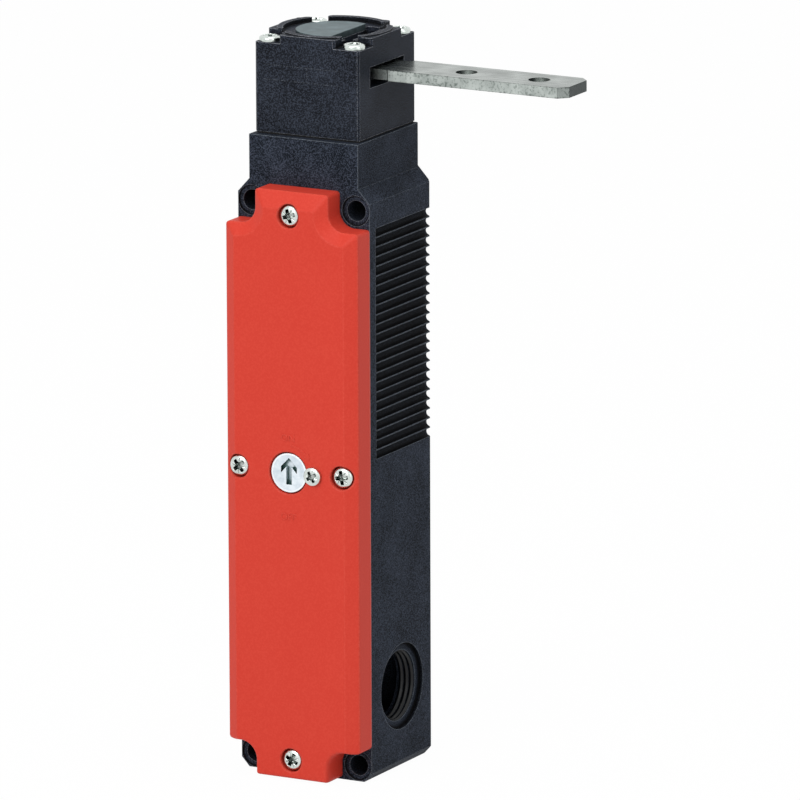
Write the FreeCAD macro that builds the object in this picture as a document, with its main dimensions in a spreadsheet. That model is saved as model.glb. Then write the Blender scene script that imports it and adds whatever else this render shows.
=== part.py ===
"""Tongue interlock switch with guard locking, built as an assembly of separate sub-parts.

Every length is in millimetres. X runs to the right across the switch, Y from the cover
towards the mounting face, Z up. The origin lies in the mounting face, in the middle of
the four mounting holes, so "depth" below is the distance in front of that face. Heights
are counted from the foot of the housing, and each sub-part's Placement then lowers it by
the height of the hole pattern's centre.
"""
import FreeCAD, Part
import math
import os
import re

import Sketcher
from FreeCAD import Placement, Rotation, Vector

DRIVING_SIZES = {
    # housing
    "housing_width": 38.0, "housing_depth": 32.5, "housing_height": 166.2,
    "flare_drop": 15.1, "flare_rise": 3.6, "neck_width": 31.4,
    "foot_chamfer_width": 2.2, "foot_chamfer_height": 2.4,
    "edge_break": 0.5, "back_wall": 3.0,
    "cavity_half": 12.4, "cavity_low": 12.0, "cavity_top_drop": 25.7, "cavity_corner": 2.0,
    "rail_inner": 9.0,
    # mounting holes
    "mount_spacing_across": 30.0, "mount_top_drop": 17.1, "mount_low": 4.1,
    "mount_radius": 2.65, "mount_pad_radius": 3.9, "mount_pad_sink": 0.5,
    # grip ribs on both sides
    "rib_pitch": 2.51, "rib_count": 24.0, "rib_drop": 81.9, "groove_radius": 1.1,
    "groove_inset": 0.2, "rib_front_margin": 3.1,
    # cable entries
    "entry_height": 21.9, "entry_depth": 16.1, "entry_radius": 9.25,
    "entry_lead_radius": 11.25, "entry_lead_length": 1.2, "entry_membrane": 1.0,
    # cover
    "cover_wall_depth": 6.3, "bevel_depth": 2.05, "bevel_side": 3.2, "bevel_top": 4.3,
    "bevel_foot": 3.5,
    "tab_half": 10.5, "tab_top_drop": 12.35, "tab_bottom": 0.5,
    "shoulder_top_drop": 21.6, "shoulder_bottom": 8.9, "notch_radius": 4.4,
    "cover_front_wall": 2.1, "gasket_margin": 1.0, "gasket_thickness": 0.8,
    # cover screws
    "end_screw_drop": 18.4, "end_screw_bottom": 5.6, "side_screw_offset": 14.9,
    "side_screw_rise": 0.3, "cover_screw_seat": 5.7, "cover_screw_grip": 6.5,
    "screw_head_radius": 2.8, "screw_head_height": 2.0, "screw_radius": 1.5,
    "counterbore_radius": 3.1,
    # head
    "head_width": 30.0, "head_centre_depth": 15.5, "head_gasket_thickness": 0.5,
    "head_height": 25.3, "ledge_drop": 2.2, "ledge_size": 7.0, "rim_height": 0.4,
    "rim_outer": 14.7, "rim_inner": 13.2, "recess_sink": 0.8,
    "insert_radius": 10.0, "insert_sink": 1.0, "insert_proud": 0.6,
    "top_slot_start": 3.9, "top_slot_width": 5.6,
    "slot_length": 18.2, "slot_play_below": 1.9, "slot_play_above": 0.7,
    "chamber_left": -12.4, "chamber_right": 9.8, "chamber_headroom": 1.0,
    "head_screw_offset": 12.1, "head_screw_grip": 10.0,
    # tongue
    "tongue_thickness": 2.8, "tongue_rise": 14.5, "tongue_width": 14.0, "nose_width": 13.0,
    "tongue_tip": 69.5, "nose_tip": -11.5, "nose_end": 18.5, "nose_blend": 0.5,
    "nose_coining": 0.1,
    "tip_chamfer": 2.3, "nose_chamfer": 1.5,
    "tongue_hole_near": 37.8, "tongue_hole_far": 58.5, "tongue_hole_radius": 2.75,
    "window_length": 5.2, "window_width": 6.2,
    # cam wheel and its axle
    "wheel_offset": -1.0, "pitch_radius": 8.0, "tooth_angle": 20.0, "tooth_radius": 9.2,
    "tooth_root_half": 1.6, "tooth_tip_half": 0.8, "tooth_disc_width": 5.0,
    "rim_radius": 6.2, "hub_radius": 3.2, "cam_low_radius": 3.4, "cam_rise_per_turn": 4.398,
    "cam_turn_share": 0.6446, "wheel_width": 17.0, "lug_angle": 115.0,
    "axle_radius": 2.0, "axle_seat": 3.0,
    # plunger with its contact bridges
    "plunger_depth": 21.2, "plunger_radius": 2.0, "plunger_foot_gap": 2.0,
    # lock bolt
    "bolt_depth": 9.9, "bolt_radius": 2.0, "bolt_travel": 5.0, "bar_half": 6.2,
    "bar_gap": 0.3, "bar_thickness": 3.0, "bar_rise": 13.5, "bar_head": 4.0,
    "bolt_foot_gap": 1.5,
    "arm_rise": 3.5, "arm_height": 3.0, "arm_half": 2.0, "arm_reach_out": 2.8,
    # contact block and its terminals
    "block_half": 12.1, "block_height": 51.5, "block_top_gap": 2.5, "block_behind": 6.2,
    "block_before": 7.3, "block_web": 2.5, "chamber_half": 7.4,
    "upper_chamber_rise": 24.5, "upper_chamber_height": 21.0,
    "lower_chamber_rise": 1.5, "lower_chamber_height": 14.2,
    "spring_seat_rise": 18.3, "spring_bore_radius": 2.4,
    "terminal_half_height": 2.6, "terminal_behind": 2.2, "terminal_before": 4.8,
    "terminal_outer": 11.4, "terminal_inner": 7.4, "tab_tip": 4.6, "tab_half_thickness": 0.4,
    "tab_before": 2.2,
    "opening_terminal_rise": 41.5, "closing_terminal_rise": 28.5,
    "released_terminal_rise": 6.05, "locked_terminal_rise": 12.8,
    "bridge_half": 6.0, "bridge_thickness": 0.6, "bridge_depth": 6.0,
    "terminal_screw_radius": 1.2, "terminal_head_radius": 2.1, "terminal_head_height": 1.6,
    "terminal_screw_grip": 5.5,
    "block_screw_low_rise": 20.0, "block_screw_high_rise": 49.0, "block_screw_offset": 9.4,
    "block_head_sink": 2.2, "block_head_radius": 2.4, "block_screw_grip": 7.0,
    # solenoid
    "solenoid_depth": 14.5, "yoke_height": 34.0, "yoke_release_gap": 15.1, "yoke_plate": 2.0,
    "yoke_back_plate": 1.8, "yoke_half": 10.8, "yoke_front": 26.0,
    "bobbin_bore": 4.3, "bobbin_wall": 1.0, "flange_radius": 9.5, "flange_thickness": 1.5,
    "coil_radius": 8.9, "core_drop": 9.7, "core_spring_drop": 6.0, "core_spring_bore": 3.2,
    "armature_radius": 4.0, "armature_rise": 8.0, "armature_length": 11.0, "stem_radius": 1.9,
    "stem_socket": 2.5, "yoke_screw_offset": 8.9,
    "yoke_head_radius": 2.25, "yoke_head_height": 1.6, "yoke_screw_radius": 1.25,
    "yoke_screw_grip": 2.2,
    # auxiliary release
    "release_offset": -0.3, "release_drop": 5.4, "release_radius": 5.1,
    "release_thickness": 2.5, "release_sink": 0.35, "release_shaft_radius": 3.0,
    "shaft_end_gap": 3.0, "release_pin_radius": 1.4, "release_pin_throw": 2.0,
    "pin_end_reach": 3.5, "release_slot_half": 0.8, "release_slot_length": 6.2,
    "release_slot_depth": 1.2, "barb_reach": 2.3, "barb_drop": 3.2, "release_boss": 6.6,
    "seal_groove_radius": 2.4, "seal_groove_start": 2.0, "seal_width": 1.4,
    "clip_radius": 4.6, "clip_width": 0.8, "clip_groove_radius": 2.5,
    "seal_screw_offset": 7.0, "seal_head_radius": 2.4, "seal_head_height": 1.4,
    "seal_screw_radius": 1.25, "seal_screw_grip": 4.8, "seal_boss_radius": 2.8,
    # springs
    "plunger_spring_radius": 2.0, "armature_spring_radius": 2.9, "spring_wire": 0.5,
    # clearances
    "running_clearance": 0.1, "fit_clearance": 0.05, "loose_clearance": 0.3,
    "screw_clearance": 0.05,
}

# Sizes that follow from the driving ones: heights from the top of the housing down to the
# head, cover, contact block, release and solenoid, and depths about the plunger's axis.
DERIVED_SIZES = {
    "flare_start": "housing_height - flare_drop",
    "cavity_high": "housing_height - cavity_top_drop",
    "mount_high": "housing_height - mount_top_drop",
    "rib_low": "housing_height - rib_drop",
    "tab_top": "housing_height - tab_top_drop",
    "shoulder_top": "housing_height - shoulder_top_drop",
    "end_screw_top": "housing_height - end_screw_drop",
    "side_screw_height": "release_height + side_screw_rise",
    "head_top": "housing_height + head_gasket_thickness + head_height",
    "ledge_height": "head_top - ledge_drop",
    "tongue_low": "housing_height + head_gasket_thickness + tongue_rise",
    "tongue_high": "tongue_low + tongue_thickness",
    "side_slot_low": "tongue_low - slot_play_below",
    "side_slot_high": "tongue_high + slot_play_above",
    "chamber_top": "tongue_high + chamber_headroom",
    "block_top": "cavity_high - block_top_gap",
    "block_low": "block_top - block_height",
    "block_back": "plunger_depth - block_behind",
    "block_front": "plunger_depth + block_before",
    "upper_chamber_low": "block_low + upper_chamber_rise",
    "upper_chamber_high": "upper_chamber_low + upper_chamber_height",
    "lower_chamber_low": "block_low + lower_chamber_rise",
    "lower_chamber_high": "lower_chamber_low + lower_chamber_height",
    "spring_seat": "block_low + spring_seat_rise",
    "plunger_foot": "upper_chamber_low + plunger_foot_gap",
    "terminal_back": "plunger_depth - terminal_behind",
    "terminal_front": "plunger_depth + terminal_before",
    "tab_front": "plunger_depth + tab_before",
    "opening_terminal": "block_low + opening_terminal_rise",
    "closing_terminal": "block_low + closing_terminal_rise",
    "released_terminal": "block_low + released_terminal_rise",
    "locked_terminal": "block_low + locked_terminal_rise",
    "block_screw_low": "block_low + block_screw_low_rise",
    "block_screw_high": "block_low + block_screw_high_rise",
    "bar_front": "block_back - bar_gap",
    "bar_top": "block_low + bar_rise",
    "arm_low": "block_low + arm_rise",
    "arm_reach": "plunger_depth + arm_reach_out",
    "release_height": "block_low - release_drop",
    "release_shaft_end": "bar_front + shaft_end_gap",
    "release_pin_end": "bar_front - pin_end_reach",
    "yoke_high": "release_height - yoke_release_gap",
    "yoke_low": "yoke_high - yoke_height",
    "yoke_screw_height": "yoke_low + yoke_height / 2",
    "foot_low": "yoke_high + bolt_foot_gap",
    "core_low": "yoke_high - core_drop",
    "core_spring_top": "yoke_high - core_spring_drop",
    "armature_low": "yoke_low + armature_rise",
    "armature_high": "armature_low + armature_length",
}

document = FreeCAD.newDocument("TongueInterlockSwitch")
sheet = document.addObject("Spreadsheet::Sheet", "Sizes")
for row, (alias, value) in enumerate(DRIVING_SIZES.items(), start=1):
    sheet.set(f"A{row}", alias)
    sheet.set(f"B{row}", str(value))
    sheet.setAlias(f"B{row}", alias)
document.recompute()

WORD = re.compile(r"[a-z_]+")
sub_parts = []


def bound(expression):
    """Return the expression with derived sizes written out and each driving size
    pointing at its cell of the sheet."""
    def written_out(match):
        name = match[0]
        if name in DERIVED_SIZES:
            return bound(f"({DERIVED_SIZES[name]})")
        return f"Sizes.{name}" if name in DRIVING_SIZES else name
    return WORD.sub(written_out, str(expression))


def size(expression):
    """Work out an expression of size names as a number."""
    return float(sheet.evalExpression(bound(expression)))


# Lengths that several sub-parts share.
PATTERN_HEIGHT = "(mount_low / 2 + mount_high / 2)"
COVER_FLAT = "(housing_depth + cover_wall_depth + bevel_depth)"
HEAD_FOOT = "(housing_height + head_gasket_thickness)"
WHEEL_HEIGHT = "(tongue_low + tongue_thickness / 2 - pitch_radius)"
PLUNGER_TOP = f"({WHEEL_HEIGHT} - cam_low_radius - loose_clearance)"
BOLT_TOP = f"({WHEEL_HEIGHT} - hub_radius - loose_clearance - bolt_travel)"
WINDOW_REACH = "(release_pin_throw + release_pin_radius + loose_clearance)"
RELEASE_FRONT = f"({COVER_FLAT} - release_sink)"
RELEASE_BACK = f"({RELEASE_FRONT} - release_thickness)"
SHAFT_BORE = "(release_shaft_radius + fit_clearance)"


# ---------------------------------------------------------------- outlines for sketches

def polygon(*corners):
    """Closed outline through corners (x, y); (x, y, radius, turn) is reached by an arc."""
    return list(corners)


def rectangle(x_low, y_low, x_high, y_high):
    return [(x_low, y_low), (x_high, y_low), (x_high, y_high), (x_low, y_high)]


def rounded(x_low, y_low, x_high, y_high, radius):
    """Rectangle with rounded corners."""
    return [
        (f"{x_low} + {radius}", y_low, radius, 1), (f"{x_high} - {radius}", y_low),
        (x_high, f"{y_low} + {radius}", radius, 1), (x_high, f"{y_high} - {radius}"),
        (f"{x_high} - {radius}", y_high, radius, 1), (f"{x_low} + {radius}", y_high),
        (x_low, f"{y_high} - {radius}", radius, 1), (x_low, f"{y_low} + {radius}"),
    ]


def circle(x, y, radius):
    return ("circle", x, y, radius)


def cover_outline(side="0", top="0", foot="0"):
    """Cover outline with a tab at each end between two notches round the mounting holes.

    side is how far the outline lies inside the cover's own sides, notches and shoulders,
    top and foot how far it lies inside the ends of the two tabs.
    """
    half, tab = f"(housing_width / 2 - {side})", f"(tab_half - {side})"
    radius = f"(notch_radius + {side})"
    upper = (f"(shoulder_top - {side})", f"(tab_top - {top})", 1)
    lower = (f"(shoulder_bottom + {side})", f"(tab_bottom + {foot})", -1)

    def quarter(side_sign, shoulder, tab_end, up):
        """Corners from the tab's end to the cover's side, in one corner of the cover."""
        out = f"{side_sign} * "
        away = "+" if up > 0 else "-"
        return [
            (f"{out}{tab}", tab_end),
            (f"{out}{tab}", f"{shoulder} {away} {radius}"),
            (f"{out}({tab} + {radius})", shoulder, radius, side_sign * up),
            (f"{out}{half}", shoulder),
        ]

    def backwards(path):
        """The same corners walked the other way, with the arc on its own corner."""
        tab_corner, arc_start, arc_end, side_corner = path
        return [side_corner, arc_end[:2], arc_start + (arc_end[2], -arc_end[3]), tab_corner]

    return (quarter(1, *upper) + backwards(quarter(1, *lower))
            + quarter(-1, *lower) + backwards(quarter(-1, *upper)))


# ------------------------------------------------------------------- building sub-parts

def add_outline(sketch, outline):
    """Draw one closed outline and bind each of its corners and radii to the sheet."""

    def hold(kind, *where, to):
        index = sketch.addConstraint(Sketcher.Constraint(kind, *where, size(to)))
        sketch.setExpression(f"Constraints[{index}]", bound(to))

    if outline[0] == "circle":
        _, x, y, radius = outline
        round_edge = Part.Circle(Vector(size(x), size(y), 0), Vector(0, 0, 1), size(radius))
        geometry = sketch.addGeometry(round_edge)
        hold("DistanceX", -1, 1, geometry, 3, to=x)
        hold("DistanceY", -1, 1, geometry, 3, to=y)
        hold("Radius", geometry, to=radius)
        return

    places = [Vector(size(corner[0]), size(corner[1]), 0) for corner in outline]
    edges = []
    for index, corner in enumerate(outline):
        following = (index + 1) % len(outline)
        start, end = places[index], places[following]
        if len(outline[following]) == 2:
            edges.append((sketch.addGeometry(Part.LineSegment(start, end)), 1, 2))
            continue
        radius, turn = outline[following][2:]
        reach, chord = size(radius), end - start
        rise = math.sqrt(max(reach ** 2 - chord.Length ** 2 / 4, 0.0))
        across = Vector(-chord.y, chord.x, 0).normalize() * turn
        centre = (start + end) * 0.5 + across * rise
        first, last = (start, end) if turn > 0 else (end, start)
        angle = lambda place: math.atan2(place.y - centre.y, place.x - centre.x)
        opening, closing = angle(first), angle(last)
        closing += 2 * math.pi if closing < opening else 0
        arc = Part.ArcOfCircle(Part.Circle(centre, Vector(0, 0, 1), reach), opening, closing)
        geometry = sketch.addGeometry(arc)
        hold("Radius", geometry, to=radius)
        edges.append((geometry, 1, 2) if turn > 0 else (geometry, 2, 1))
    for index, (geometry, from_end, _) in enumerate(edges):
        before, _, to_end = edges[index - 1]
        sketch.addConstraint(Sketcher.Constraint("Coincident", before, to_end,
                                                 geometry, from_end))
        hold("DistanceX", -1, 1, geometry, from_end, to=outline[index][0])
        hold("DistanceY", -1, 1, geometry, from_end, to=outline[index][1])


class Piece:
    """One sub-part: a body made of sketched features, placed by its own Placement."""

    def __init__(self, label, counts=True):
        self.body = document.addObject("PartDesign::Body", label)
        self.body.Label = label
        self.place("0", "0", "0")
        if counts:
            sub_parts.append(self.body)

    def place(self, x, depth, height, turn=Rotation()):
        """Move the body's own origin to a place given by depth and height."""
        self.body.Placement = Placement(Vector(), turn)
        self.body.setExpression(".Placement.Base.x", bound(x))
        self.body.setExpression(".Placement.Base.y", bound(f"-({depth})"))
        self.body.setExpression(".Placement.Base.z", bound(f"({height}) - {PATTERN_HEIGHT}"))

    def sketch(self, plane, start, *outlines):
        """Sketch on the XY, XZ or YZ plane, moved by start along the plane's normal."""
        sketch = self.body.newObject("Sketcher::SketchObject", f"{self.body.Label}_profile")
        base = next(o for o in self.body.Origin.OriginFeatures if o.Role == f"{plane}_Plane")
        sketch.AttachmentSupport = [(base, "")]
        sketch.MapMode = "FlatFace"
        sketch.setExpression("AttachmentOffset.Base.z", bound(start))
        for outline in outlines:
            add_outline(sketch, outline)
        return sketch

    def pad(self, plane, start, end, *outlines):
        """Raise material from start to end along the plane's normal."""
        feature = self.body.newObject("PartDesign::Pad", f"{self.body.Label}_pad")
        feature.Profile = self.sketch(plane, start, *outlines)
        feature.setExpression("Length", bound(f"{end} - ({start})"))
        document.recompute()
        return self

    def pocket(self, plane, start, end, *outlines):
        """Cut material away from start to end along the plane's normal."""
        before = self.body.Shape.Volume
        feature = self.body.newObject("PartDesign::Pocket", f"{self.body.Label}_pocket")
        feature.Profile = self.sketch(plane, start, *outlines)
        feature.Reversed = True
        feature.setExpression("Length", bound(f"{end} - ({start})"))
        document.recompute()
        if self.body.Shape.Volume >= before - 1e-6:
            raise RuntimeError(f"{feature.Label} cuts nothing")
        return self

    def loft(self, plane, start, end, first, last):
        """Raise material from one outline to another."""
        feature = self.body.newObject("PartDesign::AdditiveLoft", f"{self.body.Label}_loft")
        feature.Profile = self.sketch(plane, start, first)
        feature.Sections = [self.sketch(plane, end, last)]
        feature.Ruled = True
        document.recompute()
        return self

    def revolve(self, outline):
        """Turn an outline of radius and height about the body's own Z axis."""
        feature = self.body.newObject("PartDesign::Revolution", f"{self.body.Label}_turned")
        feature.Profile = self.sketch("XZ", "0", outline)
        feature.ReferenceAxis = (feature.Profile[0], ["V_Axis"])
        feature.Angle = 360
        document.recompute()
        return self

    def repeat(self, direction, spacing, count):
        """Repeat the last feature in rows along an axis of the body."""
        original = self.body.Tip
        pattern = self.body.newObject("PartDesign::LinearPattern", f"{self.body.Label}_row")
        pattern.Originals = [original]
        axis = next(o for o in self.body.Origin.OriginFeatures if o.Role == f"{direction}_Axis")
        pattern.Direction = (axis, [""])
        pattern.Mode = "Spacing"
        pattern.setExpression("Offset", bound(spacing))
        pattern.setExpression("Occurrences", bound(count))
        self.body.Tip = pattern
        document.recompute()
        return pattern

    def bevel(self, distance, chosen):
        """Chamfer the edges for which chosen(edge) is true."""
        return self.dress("PartDesign::Chamfer", "Size", distance, chosen)

    def fillet(self, radius, chosen):
        """Round the edges for which chosen(edge) is true."""
        return self.dress("PartDesign::Fillet", "Radius", radius, chosen)

    def dress(self, kind, length, amount, chosen):
        names = [f"Edge{number}" for number, edge in enumerate(self.body.Shape.Edges, start=1)
                 if chosen(edge)]
        base = self.body.Tip
        feature = self.body.newObject(kind, f"{self.body.Label}_edge")
        feature.Base = (base, names)
        feature.setExpression(length, bound(amount))
        document.recompute()
        return self


def group(label, pieces):
    """Join like fasteners or contacts into one sub-part of separate solids."""
    compound = document.addObject("Part::Compound", label)
    compound.Label = label
    compound.Links = [piece.body for piece in pieces]
    document.recompute()
    sub_parts.append(compound)


def both(*values):
    """Each value on the left and on the right of the middle plane."""
    return [f"{sign}({value})" for value in values for sign in ("-", "")]


def screw(label, x, depth, height, turn, head, head_height, shank, length):
    """Pan-head screw whose head sits on the place given, with its shank behind it."""
    piece = Piece(label, counts=False)
    crown = f"({head} * 0.55)"
    piece.revolve(polygon(
        ("0", f"-({length})"), (f"{shank} * 0.6", f"-({length})"),
        (shank, f"-({length}) + {shank} * 0.4"), (shank, "0"), (head, "0"),
        (head, f"{head_height} * 0.55"), (crown, head_height), ("0", head_height)))
    piece.place(x, depth, height, turn)
    return piece


FORWARD = Rotation(Vector(1, 0, 0), 90)
UPWARD = Rotation()


# ------------------------------------------------------------------------------ housing

def build_housing():
    """Moulded housing: ribbed sides, flared neck, cable entries and inner cavity."""
    half, neck = "housing_width / 2", "neck_width / 2"
    housing = Piece("housing")
    housing.pad("XZ", "0", "housing_depth", polygon(
        (f"-{half} + foot_chamfer_width", "0"), (f"{half} - foot_chamfer_width", "0"),
        (half, "foot_chamfer_height"), (half, "flare_start"),
        (neck, "flare_start + flare_rise"), (neck, "housing_height"),
        (f"-{neck}", "housing_height"), (f"-{neck}", "flare_start + flare_rise"),
        (f"-{half}", "flare_start"), (f"-{half}", "foot_chamfer_height")))
    upright = lambda edge: (abs(edge.tangentAt(edge.FirstParameter).z) > 0.99
                            and abs(edge.CenterOfMass.y) < 0.01)
    housing.bevel("edge_break", upright)

    cavity = rounded("-cavity_half", "cavity_low", "cavity_half", "cavity_high",
                     "cavity_corner")
    housing.pocket("XZ", "back_wall", "housing_depth", cavity)
    housing.pad("XZ", "back_wall - 0.5", "block_back",
                *[rectangle(inner, "block_low", outer, "block_top")
                  for inner, outer in (("-cavity_half - 0.5", "-rail_inner"),
                                       ("rail_inner", "cavity_half + 0.5"))])

    places = [(x, z) for x in both("mount_spacing_across / 2")
              for z in ("mount_low", "mount_high")]
    housing.pocket("XZ", "0", "housing_depth",
                   *[circle(x, z, "mount_radius") for x, z in places])
    housing.pocket("XZ", "housing_depth - mount_pad_sink", "housing_depth",
                   *[circle(x, z, "mount_pad_radius") for x, z in places])

    grip = "housing_depth - cover_screw_grip"
    housing.pocket("XZ", grip, "housing_depth",
                   *[circle(x, z, "screw_radius + screw_clearance")
                     for x, z in COVER_SCREW_PLACES])

    groove_height = "rib_low + rib_pitch / 2"
    groove_end = "housing_depth - rib_front_margin"
    wall = f"({half} - groove_inset)"
    housing.pocket("XZ", "0", groove_end,
                   *[circle(x, groove_height, "groove_radius") for x in both(wall)])
    housing.repeat("Z", "rib_pitch", "rib_count")

    entry = lambda radius: circle("-entry_depth", "entry_height", radius)
    housing.pocket("YZ", "cavity_half - 1", half, entry("entry_radius"))
    housing.pocket("YZ", f"{half} - entry_lead_length", half, entry("entry_lead_radius"))
    housing.pocket("YZ", f"-{half}", "-cavity_half - entry_membrane", entry("entry_radius"))
    housing.pocket("YZ", f"-{half}", f"-{half} + entry_lead_length",
                   entry("entry_lead_radius"))
    foot = lambda radius: circle("0", "-entry_depth", radius)
    housing.pocket("XY", "0", "cavity_low - entry_membrane", foot("entry_radius"))
    housing.pocket("XY", "0", "entry_lead_length", foot("entry_lead_radius"))

    housing.pocket("XY", "cavity_high - 1", "housing_height",
                   circle("wheel_offset", "-plunger_depth",
                          "plunger_radius + running_clearance"),
                   circle("wheel_offset", "-bolt_depth", "bolt_radius + running_clearance"))
    sweep = "(tooth_radius + 2 * loose_clearance)"
    disc = "(tooth_disc_width / 2 + loose_clearance)"
    housing.pocket("XY", f"{WHEEL_HEIGHT} - {sweep}", "housing_height",
                   rectangle(f"wheel_offset - {sweep}", f"-head_centre_depth - {disc}",
                             f"wheel_offset + {sweep}", f"-head_centre_depth + {disc}"))
    housing.pocket("XY", "housing_height - head_screw_grip", "housing_height",
                   *[circle(x, y, "screw_radius + screw_clearance")
                     for x, y in HEAD_SCREW_PLACES])
    housing.pocket("XZ", "block_back - block_screw_grip", "block_back",
                   *[circle(x, z, "screw_radius + screw_clearance")
                     for x in both("block_screw_offset")
                     for z in ("block_screw_low", "block_screw_high")])
    housing.pocket("XZ", "back_wall - yoke_screw_grip", "back_wall",
                   *[circle(f"wheel_offset + {x}", "yoke_screw_height",
                            "yoke_screw_radius + screw_clearance")
                     for x in both("yoke_screw_offset")])


COVER_SCREW_PLACES = [("0", "end_screw_top"), ("0", "end_screw_bottom"),
                      ("-side_screw_offset", "side_screw_height"),
                      ("side_screw_offset", "side_screw_height")]
HEAD_SCREW_PLACES = [(x, f"-head_centre_depth {y} head_screw_offset")
                     for x in both("head_screw_offset") for y in ("-", "+")]


# -------------------------------------------------------------------------------- cover

def build_cover():
    """Red cover with bevelled front, release recess and screw counterbores."""
    rim = "(housing_depth + cover_wall_depth)"
    inside = f"({COVER_FLAT} - cover_front_wall)"
    cover = Piece("cover")
    cover.pad("XZ", "housing_depth", rim, cover_outline())
    cover.loft("XZ", rim, COVER_FLAT, cover_outline(),
               cover_outline("bevel_side", "bevel_top", "bevel_foot"))
    cavity = rounded("-cavity_half", "cavity_low", "cavity_half", "cavity_high",
                     "cavity_corner")
    cover.pocket("XZ", "housing_depth", inside, cavity)
    cover.pocket("XZ", "housing_depth", "housing_depth + gasket_thickness",
                 cover_outline("gasket_margin", "gasket_margin", "gasket_margin"))
    cover.pad("XZ", "housing_depth + gasket_thickness", f"{inside} + 0.5",
              circle("release_offset", "release_height", "release_boss"))
    cover.pad("XZ", f"{COVER_FLAT} - seal_screw_grip", f"{inside} + 0.5",
              circle("seal_screw_offset", "release_height", "seal_boss_radius"))
    cover.pocket("XZ", "housing_depth", COVER_FLAT,
                 circle("release_offset", "release_height", SHAFT_BORE))
    cover.pocket("XZ", RELEASE_BACK, COVER_FLAT,
                 circle("release_offset", "release_height", "release_radius + fit_clearance * 2"))
    cover.pocket("XZ", f"{COVER_FLAT} - seal_screw_grip", COVER_FLAT,
                 circle("seal_screw_offset", "release_height",
                        "seal_screw_radius + screw_clearance"))
    cover.pocket("XZ", "housing_depth", COVER_FLAT,
                 *[circle(x, z, "screw_radius + screw_clearance")
                   for x, z in COVER_SCREW_PLACES])
    cover.pocket("XZ", "housing_depth + cover_screw_seat", COVER_FLAT,
                 *[circle(x, z, "counterbore_radius") for x, z in COVER_SCREW_PLACES])

    gasket = Piece("cover_gasket")
    edge = "(gasket_margin + running_clearance)"
    gasket.pad("XZ", "housing_depth", "housing_depth + gasket_thickness",
               cover_outline(edge, edge, edge), cavity,
               circle("0", "end_screw_top", "screw_radius + running_clearance"),
               circle("0", "end_screw_bottom", "screw_radius + running_clearance"))
    gasket.pocket("XZ", "housing_depth", "housing_depth + gasket_thickness",
                  *[circle(x, "side_screw_height", "screw_radius + running_clearance")
                    for x in both("side_screw_offset")])

    group("cover_screws", [
        screw("cover_screw", x, "housing_depth + cover_screw_seat", z, FORWARD,
              "screw_head_radius", "screw_head_height", "screw_radius",
              "cover_screw_seat + cover_screw_grip") for x, z in COVER_SCREW_PLACES])


# --------------------------------------------------------------------------------- head

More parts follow.
